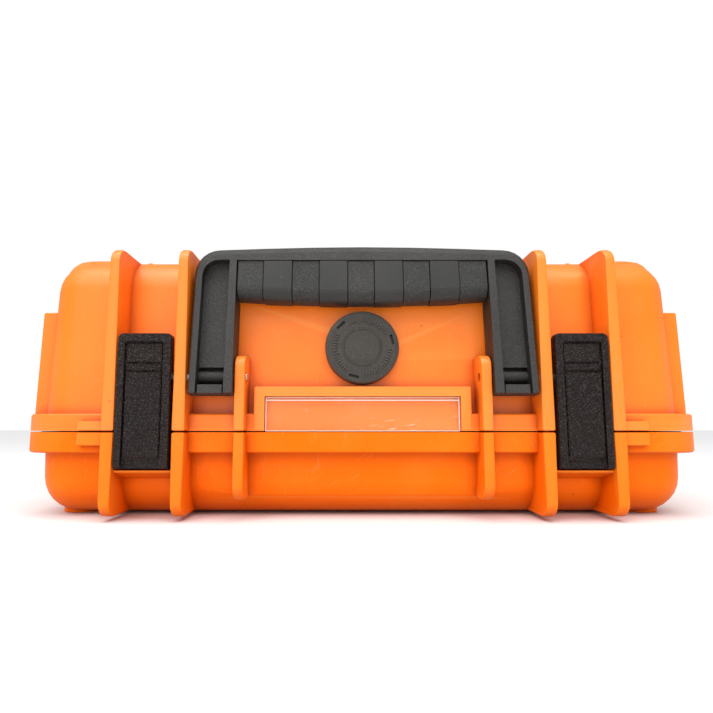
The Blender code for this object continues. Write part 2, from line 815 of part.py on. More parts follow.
def handle_outline(inset, depth):
    """U-shaped front view of the handle; inset pulls in the outer edge, most of all on top."""
    foot = HANDLE_OUTER[0] - 0.35 * inset
    side = HANDLE_OUTER[1] - 0.35 * inset
    top = HANDLE_TOP - inset
    radius = HANDLE_RADIUS
    points = [(-foot, HANDLE_FOOT), (-HANDLE_INNER[0], HANDLE_FOOT), (-HANDLE_INNER[1], HANDLE_RIM),
              (HANDLE_INNER[1], HANDLE_RIM), (HANDLE_INNER[0], HANDLE_FOOT), (foot, HANDLE_FOOT)]
    points += arc((side - radius, top - radius), radius, 0, 90, 6)
    steps = 6
    for i in range(1, steps):
        t = i / steps
        x = (side - radius) * (1 - 2 * t)
        points.append((x, top + HANDLE_ARCH * math.sin(math.pi * t)))
    points += arc((radius - side, top - radius), radius, 90, 180, 6)
    return [local(x, depth, z) for x, z in points]


def build_handle_frame(material):
    """Carrying handle: two channelled arms and a top rim with a core bar for the grip."""
    loops = []
    for depth, inset in ((HANDLE_FRONT, 4.2), (HANDLE_FRONT + 0.6, 2.6), (HANDLE_FRONT + 1.8, 1.0),
                         (HANDLE_FRONT + 3.2, 0.0), (HANDLE_BACK - 1.5, 0.0), (HANDLE_BACK, 1.2)):
        loops.append(handle_outline(inset, depth))
    frame = loft("handle_frame", loops, material)
    core = box("core", (-HANDLE_INNER[1] - 2.0, -3.2, 43.5), (HANDLE_INNER[1] + 2.0, 1.8, HANDLE_RIM + 2.0),
               place=local)
    add(frame, core)
    for mirror in (-1, 1):
        cut(frame, web_cutter(mirror))
        low, high = sorted((mirror * WEB_X[0], mirror * WEB_X[1]))
        cut(frame, box("pocket", (low, -20.0, BRIDGE_TOP), (high, POCKET_BACK, 3.9), place=local))
        cut(frame, box("step", (low, -20.0, HANDLE_FOOT - 2.0), (high, HANDLE_FRONT + 1.0, BRIDGE_TOP), place=local))
        for edge in (low, high - BRIDGE_SLOT):
            cut(frame, box("slot", (edge, -20.0, HANDLE_FOOT - 2.0),
                           (edge + BRIDGE_SLOT, HANDLE_FRONT + 3.5, BRIDGE_TOP + 0.1), place=local))
        add(frame, bar_x("barrel", circle(3.0, 20), low - 1.0, high + 1.0, place=local))
        cut(frame, foot_cutter(mirror))
        cut(frame, bar_x("hole", circle(PIN_RADIUS + GAP, 16), *sorted((mirror * 50.0, mirror * 90.0)), place=local))
    merge_close(frame)
    place_handle(frame)
    smooth(frame)


def web_cutter(mirror):
    """Channel in the front of an arm, with a rounded outer top corner."""
    inner, outer = WEB_X
    radius = 7.5
    top = 55.2
    edge = [(inner, 2.0), (outer, 2.0)] + arc((outer - radius, top - radius), radius, 0, 90, 5) + [(inner, top)]
    loops = []
    for depth in (HANDLE_FRONT - 5.0, HANDLE_FRONT + WEB_SINK):
        loops.append([local(mirror * x, depth, z) for x, z in edge])
    return loft("web", loops)


def foot_cutter(mirror):
    """Takes the arm's foot back to a round around the pin, so that it clears the wall."""
    ring = arc((0.0, 0.0), HANDLE_BACK, 0, -75, 6)
    profile = ring + [(ring[-1][0], -12.0), (10.0, -12.0), (10.0, 0.0)]
    low, high = sorted((mirror * 56.0, mirror * 82.0))
    return bar_x("foot", profile, low, high, place=local)


def grip_section(raised, drop):
    """Cross-section of the grip: a sleeve open on top around the core bar."""
    front = HANDLE_FRONT + 0.55 - raised
    back = HANDLE_BACK - 0.3 + raised * 0.5
    bottom = GRIP_BOTTOM - drop
    curve = []
    for i in range(7):
        angle = math.radians(180 + 90 * i / 6)
        curve.append((front + 4.6 + 4.6 * math.cos(angle), bottom + 5.6 + 5.6 * math.sin(angle)))
    for i in range(5):
        angle = math.radians(270 + 90 * i / 4)
        curve.append((back - 3.6 + 3.6 * math.cos(angle), bottom + 4.4 + 4.4 * math.sin(angle)))
    slot_low = 43.5 - GAP
    slot = [(1.8 + GAP, HANDLE_RIM - GAP), (1.8 + GAP, slot_low), (-3.2 - GAP, slot_low),
            (-3.2 - GAP, HANDLE_RIM - GAP)]
    return [(front, HANDLE_RIM - GAP)] + curve + [(back, HANDLE_RIM - GAP)] + slot


def grip_drop(x):
    """The grip hangs lower in its middle."""
    return GRIP_SAG * (1 - (x / GRIP_HALF) ** 2)


def build_handle_grip(material):
    """Soft grip with nine bands, every second one slightly raised."""
    edges = [-GRIP_HALF] + list(GRIP_SEAMS) + [GRIP_HALF]
    loops = []
    for index, (start, end) in enumerate(zip(edges, edges[1:])):
        raised = BAND_RAISE if index % 2 else 0.0
        for x in (start + BAND_SEAM, end - BAND_SEAM):
            loops.append([local(x, y, z) for y, z in grip_section(raised, grip_drop(x) + raised)])
        if index < len(edges) - 2:
            loops.append([local(end, y, z) for y, z in grip_section(-0.3, grip_drop(end) - 0.3)])
    grip = loft("handle_grip", loops, material)
    place_handle(grip)
    smooth(grip, 50.0)


def place_handle(piece):
    """Put a handle piece on its pin, leaning back against the lid."""
    piece.location = at(0.0, PIN_DEPTH, PIN_HEIGHT)
    piece.rotation_euler = (-HANDLE_LEAN, 0.0, 0.0)


# ---------------------------------------------------------------- lining and contents

def build_lid_foam(material):
    """Foam pad under the lid's roof, shaped to the rounded edge."""
    top = LID_HEIGHT - WALL - GAP
    fits = WALL + GAP + EDGE_RADIUS - WALL
    loops = []
    for height, inset in ((top - FOAM_THICK, WALL + 1.0), (top - 13.0, WALL + 1.5), (top, fits)):
        loops.append(shell_outline(inset + DRAFT * height, height))
    foam = loft("lid_foam", loops, material)
    smooth(foam)


def build_base_mat(material):
    inset = EDGE_RADIUS + 1.0
    low = FLOOR + GAP
    loops = [shell_outline(inset, low), shell_outline(inset, low + MAT_THICK)]
    loft("base_mat", loops, material)


def build_dividers(material):
    """Lengthways divider and four cross dividers."""
    low = FLOOR + GAP + MAT_THICK + GAP
    middle = DIVIDER_MIDDLE
    half = DIVIDER_THICK / 2
    plate = box("divider_long", (-DIVIDER_END, middle - half, low), (DIVIDER_END, middle + half, DIVIDER_TOP),
                material=material)
    bevel(plate, 0.8, 1)
    rows = {"front": (DIVIDER_REACH[0], middle - half - GAP), "back": (middle + half + GAP, DIVIDER_REACH[1])}
    for row, (near, far) in rows.items():
        for column, x in zip(("left", "right"), DIVIDER_X):
            plate = box("divider_%s_%s" % (row, column), (x - half, near, low), (x + half, far, DIVIDER_TOP),
                        material=material)
            bevel(plate, 0.8, 1)


def content_floor():
    return FLOOR + 2 * GAP + MAT_THICK + GAP


def build_bandage_roll(name, depth, material):
    """Rolled bandage lying along X."""
    centre = (depth, content_floor() + ROLL_RADIUS)
    roll = bar_x(name, circle(ROLL_RADIUS, 32, centre), -129.0, -56.0, material=material)
    bevel(roll, 2.0, 2)
    smooth(roll)


def rounded_block(name, low, high, radius, material):
    """Soft-edged packet."""
    block = box(name, low, high, material=material)
    bevel(block, radius, 3)
    smooth(block)


def build_tape(tape_material, core_material):
    """Adhesive tape on its core, lying flat."""
    low = content_floor()
    centre = (92.0, 76.0)
    for name, outer, inner, height, material in (
            ("tape_roll", 32.0, 15.0, 25.0, tape_material), ("tape_core", 14.7, 12.7, 25.6, core_material)):
        loops = []
        for radius, z in ((outer, low), (outer, low + height), (inner, low + height), (inner, low)):
            loops.append([at(x, y, z) for x, y in circle(radius, 40, centre)])
        smooth(closed_ring(name, loops, material))


def build_tweezers(material):
    """Steel tweezers: two tapering arms joined at one end."""
    low = content_floor()
    outer = [(-40.0, 3.2), (-36.0, 4.6), (10.0, 4.9), (40.0, 1.1)]
    inner = [(40.0, 0.4), (10.0, 3.8), (-33.0, 3.4), (-35.0, 2.2)]
    profile = outer + inner + [(x, -y) for x, y in reversed(outer + inner)]
    loops = [[at(x, 118.0 + y, z) for x, y in profile] for z in (low, low + 7.0)]
    loft("tweezers", loops, material)


def build_contents(paper, gauze, cloth, foil, steel, tape, card):
    low = content_floor()
    build_bandage_roll("bandage_roll_1", ROLL_DEPTHS[0], gauze)
    build_bandage_roll("bandage_roll_2", ROLL_DEPTHS[1], gauze)
    rounded_block("plaster_box", (-42.0, 40.0, low), (42.0, 106.0, low + 26.0), 1.0, card)
    build_tweezers(steel)
    build_tape(tape, card)
    rounded_block("triangular_bandage", (-128.0, 142.0, low), (-54.0, 232.0, low + 27.0), 7.0, cloth)
    rounded_block("foil_blanket", (-41.0, 144.0, low), (41.0, 230.0, low + 22.0), 6.0, foil)
    for i in range(3):
        level = low + i * PACK_STEP
        name = "gauze_pack_%d" % (i + 1)
        rounded_block(name, (54.0, 142.0, level), (128.0, 206.0, level + 7.0), 1.6, paper)


# ---------------------------------------------------------------- assembly

def build():
    clear_scene()
    orange = make_material("orange_polypropylene", (0.95, 0.25, 0.035), 0.42)
    black = make_material("black_nylon", (0.03, 0.03, 0.032), 0.55)
    valve_black = make_material("valve_black", (0.04, 0.038, 0.036), 0.5)
    grip_rubber = make_material("grip_rubber", (0.035, 0.036, 0.036), 0.6)
    steel = make_material("steel", (0.62, 0.62, 0.64), 0.3, 1.0)
    seal_rubber = make_material("seal_rubber", (0.02, 0.02, 0.02), 0.7)
    clear = make_material("clear_plastic", (0.95, 0.95, 0.95), 0.08, 0.0, 0.3)
    membrane = make_material("membrane_white", (0.85, 0.85, 0.84), 0.7)
    foam = make_material("dark_foam", (0.03, 0.03, 0.033), 0.95)
    divider = make_material("divider_grey", (0.12, 0.12, 0.13), 0.8)
    gauze = make_material("gauze_white", (0.88, 0.87, 0.83), 0.95)
    cloth = make_material("cotton_cloth", (0.9, 0.88, 0.8), 0.95)
    paper = make_material("white_paper", (0.86, 0.87, 0.88), 0.7)
    card = make_material("box_card", (0.55, 0.7, 0.62), 0.6)
    foil = make_material("gold_foil", (0.85, 0.66, 0.3), 0.25, 1.0)
    tape = make_material("tape_beige", (0.8, 0.68, 0.55), 0.75)

    build_base_shell(orange)
    build_lid_shell(orange)
    build_gasket(seal_rubber)
    for name, mirror in (("left", -1), ("right", 1)):
        build_hinge_pin("hinge_pin_" + name, mirror, steel)
        build_latch("latch_" + name, mirror, black)
    build_front_pin("front_pin_left", -1, PIN_ENDS[0], steel)
    build_front_pin("front_pin_right", 1, PIN_ENDS[0] + PIN_STAGGER, steel)
    build_window(clear)
    build_valve_cap(valve_black)
    build_valve_body(black)
    build_valve_seal(seal_rubber)
    build_valve_membrane(membrane)
    build_valve_nut(black)
    build_handle_frame(black)
    build_handle_grip(grip_rubber)
    build_lid_foam(foam)
    build_base_mat(foam)
    build_dividers(divider)
    build_contents(paper, gauze, cloth, foil, steel, tape, card)


build()
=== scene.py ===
"""Looks of the hard first aid case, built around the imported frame."""
import math

import bpy
import bmesh
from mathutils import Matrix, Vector, noise


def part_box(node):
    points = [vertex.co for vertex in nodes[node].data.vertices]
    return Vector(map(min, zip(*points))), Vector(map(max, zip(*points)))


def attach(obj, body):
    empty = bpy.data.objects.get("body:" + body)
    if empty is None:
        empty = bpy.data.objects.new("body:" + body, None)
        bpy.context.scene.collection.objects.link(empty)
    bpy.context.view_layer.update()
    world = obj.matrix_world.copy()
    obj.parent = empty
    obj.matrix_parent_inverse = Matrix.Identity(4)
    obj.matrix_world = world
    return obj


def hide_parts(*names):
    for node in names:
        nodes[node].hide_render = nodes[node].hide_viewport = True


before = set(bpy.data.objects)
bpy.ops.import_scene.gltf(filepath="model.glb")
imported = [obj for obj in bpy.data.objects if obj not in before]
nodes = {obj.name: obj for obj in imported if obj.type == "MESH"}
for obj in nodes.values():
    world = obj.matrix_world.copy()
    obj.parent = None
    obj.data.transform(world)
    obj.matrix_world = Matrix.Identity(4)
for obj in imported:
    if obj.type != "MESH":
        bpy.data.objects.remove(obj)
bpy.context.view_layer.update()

noise.seed_set(7)             # noise_vector takes its offsets from this seed, and from the clock without it

MM = 0.001
PARTING = 0.040               # height of the plane where lid and base meet
RIB_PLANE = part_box("lid_shell")[0].y

ROLL_PLAY = 0.5 * MM          # between a bandage roll and its place in the frame
CARTON_PLAY = 0.3 * MM

FILL_LIGHT = 0.42             # world light on the object; the backdrop itself is white

# colours, linear
ORANGE = (1.0, 0.215, 0.005, 1.0)
ORANGE_DEEP = (0.98, 0.180, 0.002, 1.0)
# painted shade: the base shell's orange, darker than the lid's so the lower half looks shaded
ORANGE_BASE_SHADED = (0.92, 0.150, 0.0005, 1.0)
ORANGE_PALE = (1.0, 0.33, 0.055, 1.0)
SCUFF = (1.0, 0.42, 0.15, 1.0)
DIRT = (0.30, 0.06, 0.01, 1.0)
# painted shade colour, laid into crevices and onto down-facing faces of the orange shells
PAINTED_SHADE = (0.42, 0.045, 0.0, 1.0)


# ---------------------------------------------------------------- shaders

class Shader:
    """One node material, with short calls for the nodes used here."""

    def __init__(self, name):
        self.material = bpy.data.materials.new(name)
        self.material.use_nodes = True
        self.nodes = self.material.node_tree.nodes
        self.surface = self.nodes["Principled BSDF"]
        self.place = self.nodes.new("ShaderNodeTexCoord").outputs["Object"]
        self.normal = None

    def add(self, kind, inputs, **settings):
        node = self.nodes.new("ShaderNode" + kind)
        for key, value in settings.items():
            setattr(node, key, value)
        for key, value in inputs.items():
            if isinstance(value, bpy.types.NodeSocket):
                self.material.node_tree.links.new(value, node.inputs[key])
            else:
                node.inputs[key].default_value = value
        return node

    def stretch(self, x, y, z):
        """Object coordinates scaled by axis, to draw a texture out."""
        return self.add("Mapping", {"Vector": self.place, "Scale": (x, y, z)}).outputs["Vector"]

    def turned(self, angle, x, y, z):
        """Object coordinates turned about the depth axis, then scaled."""
        turn = self.add("Mapping", {"Vector": self.place, "Rotation": (0.0, angle, 0.0)}).outputs["Vector"]
        return self.add("Mapping", {"Vector": turn, "Scale": (x, y, z)}).outputs["Vector"]

    def noise(self, scale, detail=2.0, roughness=0.5, vector=None):
        inputs = {"Vector": vector or self.place, "Scale": scale, "Detail": detail, "Roughness": roughness}
        return self.add("TexNoise", inputs).outputs["Fac"]

    def cells(self, scale, feature="F1", vector=None):
        inputs = {"Vector": vector or self.place, "Scale": scale}
        return self.add("TexVoronoi", inputs, feature=feature).outputs["Distance"]

    def waves(self, scale, direction, distortion=0.0, vector=None):
        inputs = {"Vector": vector or self.place, "Scale": scale, "Distortion": distortion}
        return self.add("TexWave", inputs, bands_direction=direction).outputs["Fac"]

    def axis(self, index):
        return self.add("SeparateXYZ", {"Vector": self.place}).outputs[index]

    def math(self, operation, a, b=0.0):
        return self.add("Math", {0: a, 1: b}, operation=operation).outputs["Value"]

    def between(self, value, low, high):
        """1 where value lies between two limits."""
        above = self.math("GREATER_THAN", value, low)
        return self.math("MULTIPLY", above, self.math("LESS_THAN", value, high))

    def span(self, value, low, high, start=0.0, end=1.0):
        """value from low..high to start..end, clamped."""
        inputs = {"Value": value, "From Min": low, "From Max": high, "To Min": start, "To Max": end}
        return self.add("MapRange", inputs).outputs["Result"]

    def mix(self, factor, a, b):
        return self.add("Mix", {0: factor, 6: a, 7: b}, data_type="RGBA").outputs[2]

    def blend(self, factor, a, b):
        return self.add("Mix", {0: factor, 2: a, 3: b}).outputs[0]

    def edges(self, low=0.52, high=0.58):
        """1 along sharp outer edges."""
        return self.span(self.add("NewGeometry", {}).outputs["Pointiness"], low, high)

    def crevices(self, reach):
        """1 deep in corners and gaps within reach, falling to 0 in the open; used as the mask of painted
        shade.
        """
        inputs = {"Distance": reach}
        open_share = self.add("AmbientOcclusion", inputs, samples=8, only_local=True).outputs["AO"]
        return self.span(open_share, 0.35, 0.9, 1.0, 0.0)

    def bump(self, height, distance, strength=1.0):
        inputs = {"Height": height, "Distance": distance, "Strength": strength}
        if self.normal is not None:
            inputs["Normal"] = self.normal
        self.normal = self.add("Bump", inputs).outputs["Normal"]

    def finish(self, colour, roughness, **fixed):
        """Wires the surface; fixed are sockets that are the same all over."""
        links = {"Base Color": colour, "Roughness": roughness}
        if self.normal is not None:
            links["Normal"] = self.normal
        for key, value in links.items():
            if isinstance(value, bpy.types.NodeSocket):
                self.material.node_tree.links.new(value, self.surface.inputs[key])
            else:
                self.surface.inputs[key].default_value = value
        for key, value in fixed.items():
            self.surface.inputs[key.replace("_", " ")].default_value = value
        return self.material


def scratches(s, angle, scale, width):
    """Thin straight marks along one direction, broken up so that only some show."""
    line = s.noise(1.0, 1.0, 0.4, s.turned(angle, 80.0 * scale, 900.0 * scale, 1900.0 * scale))
    mask = s.noise(26.0 * scale, 2.0, 0.6, s.turned(angle, 1.0, 1.0, 1.0))
    return s.math("MULTIPLY", s.span(line, 0.72 - width, 0.74), s.span(mask, 0.52, 0.62))


def facing_down(s, low, high):
    """1 where the surface faces the ground, in the piece's own frame; used as the mask of painted shade."""
    normal = s.add("TexCoord", {}).outputs["Normal"]
    return s.span(s.math("MULTIPLY", s.add("SeparateXYZ", {"Vector": normal}).outputs[2], -1.0), low, high)


def orange_plastic(name, seed, tones, gloss):
    """Satin moulded polypropylene with faint flow marks, handling scuffs and dirt specks, plus painted
    highlights on sharp edges and painted shade in crevices and on down-facing faces.
    """
    s = Shader(name)
    shift = s.add("Mapping", {"Vector": s.place, "Location": (seed, seed * 0.7, -seed)}).outputs["Vector"]
    flow = s.noise(9.0, 3.0, 0.55, shift)
    colour = s.mix(s.span(flow, 0.3, 0.7), *tones)
    cloud = s.span(s.noise(38.0, 4.0, 0.6, shift), 0.45, 0.8, 0.0, 0.16)
    colour = s.mix(cloud, colour, ORANGE_PALE)
    marks = scratches(s, 0.6, 1.0, 0.03)
    for angle, scale in ((-0.9, 1.4), (1.45, 0.8)):
        marks = s.math("MAXIMUM", marks, scratches(s, angle, scale, 0.02))
    rub = s.math("MULTIPLY", s.span(s.noise(900.0, 3.0, 0.7), 0.55, 0.75),
                 s.span(s.noise(17.0, 2.0, 0.5, shift), 0.58, 0.72))
    wear = s.math("MAXIMUM", s.math("MULTIPLY", marks, 0.28), s.math("MULTIPLY", rub, 0.25))
    colour = s.mix(wear, colour, SCUFF)
    # painted highlight: lighter along sharp outer edges
    colour = s.mix(s.math("MULTIPLY", s.edges(), 0.35), colour, ORANGE_PALE)
    specks = s.math("MULTIPLY", s.span(s.cells(95.0, vector=shift), 0.07, 0.04),
                    s.span(s.noise(14.0, 1.0, 0.5, shift), 0.55, 0.6))
    colour = s.mix(s.math("MULTIPLY", specks, 0.55), colour, DIRT)
    # painted shade: darker deep in corners, gaps and crevices, from an ambient-occlusion mask
    colour = s.mix(s.math("MULTIPLY", s.crevices(7.0 * MM), 0.75), colour, PAINTED_SHADE)
    # painted shade: darker on faces that point downwards
    underside_shade = s.math("MULTIPLY", facing_down(s, 0.15, 0.8), 0.6)
    colour = s.mix(underside_shade, colour, PAINTED_SHADE)
    roughness = s.span(s.noise(60.0, 4.0, 0.65, shift), 0.3, 0.7, 0.34, 0.46)
    roughness = s.math("ADD", roughness, s.math("MULTIPLY", wear, 0.25))
    s.bump(s.noise(2600.0, 2.0, 0.6), 0.00002, 0.5)
    s.bump(s.noise(34.0, 2.0, 0.5, shift), 0.0007, 0.12)
    s.bump(marks, 0.00004, 0.5)
    return s.finish(colour, roughness, Specular_IOR_Level=gloss)


def black_nylon(name, tone, grain, depth, dust=0.35):
    """Grained black plastic, rubbed lighter on its grain and edges."""
    s = Shader(name)
    dark = (*tone, 1.0)
    light = tuple(2.0 * c for c in tone) + (1.0,)
    pale = tuple(5.5 * c for c in tone) + (1.0,)
    colour = s.mix(s.span(s.noise(24.0, 3.0, 0.6), 0.35, 0.7), dark, light)
    grit = s.span(s.noise(grain, 3.0, 0.75), 0.50, 0.68)
    colour = s.mix(s.math("MULTIPLY", grit, dust), colour, pale)
    colour = s.mix(s.math("MULTIPLY", s.edges(0.52, 0.60), 0.5), colour, pale)
    marks = s.math("MAXIMUM", scratches(s, 0.4, 1.5, 0.03), scratches(s, -1.1, 1.2, 0.02))
    colour = s.mix(s.math("MULTIPLY", marks, 0.4), colour, pale)
    roughness = s.span(s.noise(70.0, 3.0, 0.6), 0.3, 0.7, 0.44, 0.58)
    s.bump(s.noise(grain, 3.0, 0.7), depth, 0.9)
    s.bump(marks, 0.00004, 0.4)
    return s.finish(colour, roughness, Specular_IOR_Level=0.5)


def latch_plastic():
    """Black plastic with leather grain: small rounded cells with creases between."""
    s = Shader("latch_leather_grain")
    shake = s.add("TexNoise", {"Vector": s.place, "Scale": 300.0}).outputs["Color"]
    warp = s.add("VectorMath", {0: shake, 1: (0.002, 0.002, 0.002), 2: s.place}, operation="MULTIPLY_ADD")
    dark, light = (0.0022, 0.0006, 0.0004, 1), (0.006, 0.0022, 0.0015, 1)
    pale = (0.034, 0.018, 0.014, 1)
    crease = s.cells(760.0, "DISTANCE_TO_EDGE", warp.outputs["Vector"])
    grain = s.span(crease, 0.0, 0.28)
    colour = s.mix(s.span(s.noise(60.0, 3.0, 0.6), 0.3, 0.7), dark, light)
    rubbed = s.math("MULTIPLY", grain, s.span(s.noise(1300.0, 2.0, 0.7), 0.45, 0.7, 0.0, 0.8))
    colour = s.mix(rubbed, colour, pale)
    colour = s.mix(s.math("MULTIPLY", s.edges(0.52, 0.60), 0.35), colour, pale)
    s.bump(grain, 0.00028, 0.9)
    s.bump(s.noise(3200.0, 2.0, 0.6), 0.00004, 0.6)
    roughness = s.span(s.noise(90.0, 3.0, 0.6), 0.3, 0.7, 0.28, 0.4)
    return s.finish(colour, roughness, Specular_IOR_Level=0.24)


def grip_rubber(seams):
    """Soft grip: grained bands, with every second band smooth."""
    s = Shader("grip_bands")
    x = s.axis(0)
    smooth_band = 0.0
    for start, end in zip(seams[0::2], seams[1::2]):
        smooth_band = s.math("ADD", s.between(x, start, end), smooth_band)
    grain = s.noise(1350.0, 3.0, 0.75)
    rough_part = s.math("SUBTRACT", 1.0, smooth_band)
    dark, light = (0.010, 0.0098, 0.0086, 1), (0.021, 0.0203, 0.0178, 1)
    colour = s.mix(s.span(s.noise(40.0, 4.0, 0.6), 0.3, 0.75), dark, light)
    fleck = s.math("MULTIPLY", s.span(grain, 0.5, 0.7, 0.0, 0.36), rough_part)
    colour = s.mix(fleck, colour, (0.13, 0.128, 0.12, 1))
    marks = s.math("MAXIMUM", scratches(s, 1.2, 1.6, 0.03), scratches(s, 0.2, 1.4, 0.02))
    colour = s.mix(s.math("MULTIPLY", marks, 0.35), colour, (0.14, 0.138, 0.13, 1))
    roughness = s.blend(smooth_band, 0.56, 0.47)
    roughness = s.math("ADD", roughness, s.span(s.noise(80.0, 3.0, 0.6), 0.3, 0.7, -0.05, 0.06))
    s.bump(s.math("MULTIPLY", grain, rough_part), 0.0004, 0.9)
    s.bump(s.noise(5000.0, 1.0, 0.5), 0.00001, 0.4)
    return s.finish(colour, roughness, Specular_IOR_Level=0.45)


def steel(name):
    """Stainless steel, drawn along its length."""
    s = Shader(name)
    brush = s.noise(1.0, 3.0, 0.6, s.stretch(30.0, 2600.0, 2600.0))
    colour = s.mix(s.span(s.noise(90.0, 3.0, 0.6), 0.3, 0.75), (0.56, 0.56, 0.57, 1), (0.70, 0.70, 0.70, 1))
    colour = s.mix(s.span(brush, 0.5, 0.8, 0.0, 0.3), colour, (0.38, 0.38, 0.39, 1))
    s.bump(brush, 0.00002, 0.5)
    return s.finish(colour, s.span(brush, 0.3, 0.7, 0.2, 0.36), Metallic=1.0)


def clear_plastic():
    """Thin clear acrylic: nearly unseen in its field, with painted highlights along its cut edges and just
    below its top edge, and pale scratches.
    """
    s = Shader("clear_acrylic")
    low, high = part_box("label_window")
    marks = s.math("MAXIMUM", scratches(s, 1.1, 1.3, 0.05), scratches(s, 0.1, 1.1, 0.045))
    marks = s.math("MAXIMUM", marks, scratches(s, -0.7, 1.6, 0.04))
    inset = [s.math("SUBTRACT", high.x, s.math("ABSOLUTE", s.axis(0))), s.math("SUBTRACT", high.z, s.axis(2)),
             s.math("SUBTRACT", s.axis(2), low.z)]
    # painted highlight: bright lines along the sides and the top and bottom edges
    edge_highlight = 0.0
    for distance in inset:
        edge_highlight = s.math("MAXIMUM", s.span(distance, 0.55 * MM, 0.35 * MM), edge_highlight)
    # painted highlight: a second bright line a little below the top edge
    upper = s.math("SUBTRACT", high.z, s.axis(2))
    edge_highlight = s.math("MAXIMUM", edge_highlight, s.between(upper, 1.25 * MM, 1.7 * MM))
    haze = s.span(s.noise(60.0, 4.0, 0.6), 0.4, 0.8, 0.06, 0.14)
    bright = s.math("MAXIMUM", s.math("MULTIPLY", edge_highlight, 0.75), s.math("MULTIPLY", marks, 0.5))
    alpha = s.math("MAXIMUM", haze, bright)
    colour = s.mix(s.math("MAXIMUM", edge_highlight, marks), (1.0, 0.50, 0.26, 1), (1.0, 0.86, 0.76, 1))
    s.material.node_tree.links.new(alpha, s.surface.inputs["Alpha"])
    s.bump(marks, 0.00005, 0.6)
    roughness = s.math("ADD", s.math("MULTIPLY", marks, 0.3), 0.08)
    return s.finish(colour, roughness, IOR=1.49)


def rubber_seal():
    s = Shader("seal_rubber")
    colour = s.mix(s.span(s.noise(50.0, 3.0, 0.6), 0.3, 0.7), (0.012, 0.012, 0.012, 1), (0.03, 0.03, 0.03, 1))
    bloom = s.span(s.noise(160.0, 4.0, 0.7), 0.5, 0.8, 0.0, 0.35)
    colour = s.mix(bloom, colour, (0.07, 0.068, 0.065, 1))
    s.bump(s.noise(1600.0, 2.0, 0.6), 0.00005, 0.5)
    return s.finish(colour, s.span(s.noise(60.0, 3.0, 0.6), 0.3, 0.7, 0.55, 0.75))


def open_foam(name, tone, pores):
    """Cut open-cell foam: fine pores and a slightly dusty face."""
    s = Shader(name)
    light = tuple(1.9 * c for c in tone) + (1.0,)
    colour = s.mix(s.span(s.noise(20.0, 3.0, 0.6), 0.3, 0.7), (*tone, 1.0), light)
    pore = s.span(s.cells(pores), 0.15, 0.6)
    colour = s.mix(s.span(pore, 0.0, 0.45, 0.75, 0.0), colour, tuple(0.25 * c for c in tone) + (1.0,))
    s.bump(pore, 0.0005, 0.7)
    s.bump(s.noise(3000.0, 2.0, 0.7), 0.0001, 0.5)
    return s.finish(colour, s.span(s.noise(400.0), 0.3, 0.7, 0.85, 1.0), Specular_IOR_Level=0.2)


def divider_cloth():
    """Woven nylon over foam."""
    s = Shader("divider_cloth")
    warp = s.waves(420.0, "X", 0.4)
    weft = s.waves(420.0, "Z", 0.4)
    across = s.waves(420.0, "Y", 0.4)
    weave = s.math("MULTIPLY", s.math("ADD", warp, across), weft)
    dark, light = (0.055, 0.057, 0.062, 1), (0.085, 0.088, 0.095, 1)
    colour = s.mix(s.span(s.noise(25.0, 3.0, 0.6), 0.3, 0.7), dark, light)
    colour = s.mix(s.span(weave, 0.0, 1.6, 0.0, 0.6), colour, (0.15, 0.152, 0.16, 1))
    s.bump(weave, 0.00012, 0.7)
    roughness = s.span(s.noise(200.0), 0.3, 0.7, 0.7, 0.85)
    return s.finish(colour, roughness, Sheen_Weight=0.25, Sheen_Roughness=0.5)


def woven(name, warp_axis, weft_axis, threads, light, shade, depth):
    """Plain-woven cotton or gauze, with thick and thin threads."""
    s = Shader(name)
    warp = s.waves(threads, warp_axis, 1.2)
    weft = s.waves(threads, weft_axis, 1.2)
    thread = s.math("MAXIMUM", warp, weft)
    slub = s.noise(70.0, 4.0, 0.65)
    colour = s.mix(s.span(slub, 0.3, 0.75), shade, light)
    colour = s.mix(s.span(thread, 0.35, 0.75, 0.55, 0.0), colour, tuple(0.55 * c for c in shade[:3]) + (1.0,))
    s.bump(thread, depth, 0.7)
    s.bump(s.noise(1500.0, 3.0, 0.7), depth * 0.6, 0.5)
    return s.finish(colour, s.span(slub, 0.3, 0.7, 0.82, 0.97), Sheen_Weight=0.2, Sheen_Roughness=0.5)


def sachet_paper():
    """Coated paper sachet: crimped seals round the edge and plain blue bands."""
    s = Shader("sachet_paper")
    x = s.axis(0)
    y = s.axis(1)
    low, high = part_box("gauze_pack_1")
    centre = (low + high) / 2
    u = s.math("ABSOLUTE", s.math("SUBTRACT", x, centre.x))
    v = s.math("SUBTRACT", y, centre.y)
    band = s.between(v, 15.0 * MM, 21.0 * MM)
    line = s.between(v, 11.5 * MM, 12.7 * MM)
    colour = s.mix(s.span(s.noise(60.0, 4.0, 0.6), 0.3, 0.7), (0.74, 0.76, 0.78, 1), (0.84, 0.85, 0.86, 1))
    colour = s.mix(s.math("MAXIMUM", band, line), colour, (0.05, 0.22, 0.42, 1))
    edge = s.math("MAXIMUM", s.math("GREATER_THAN", u, high.x - centre.x - 6 * MM),
                  s.math("GREATER_THAN", s.math("ABSOLUTE", v), high.y - centre.y - 6 * MM))
    crimp = s.math("MULTIPLY", s.math("MULTIPLY", s.waves(260.0, "X"), s.waves(260.0, "Y")), edge)
    s.bump(crimp, 0.0003, 0.8)
    s.bump(s.noise(45.0, 4.0, 0.6), 0.0012, 0.35)
    s.bump(s.noise(900.0, 3.0, 0.6), 0.00005, 0.4)
    return s.finish(colour, s.span(s.noise(80.0), 0.3, 0.7, 0.42, 0.58))


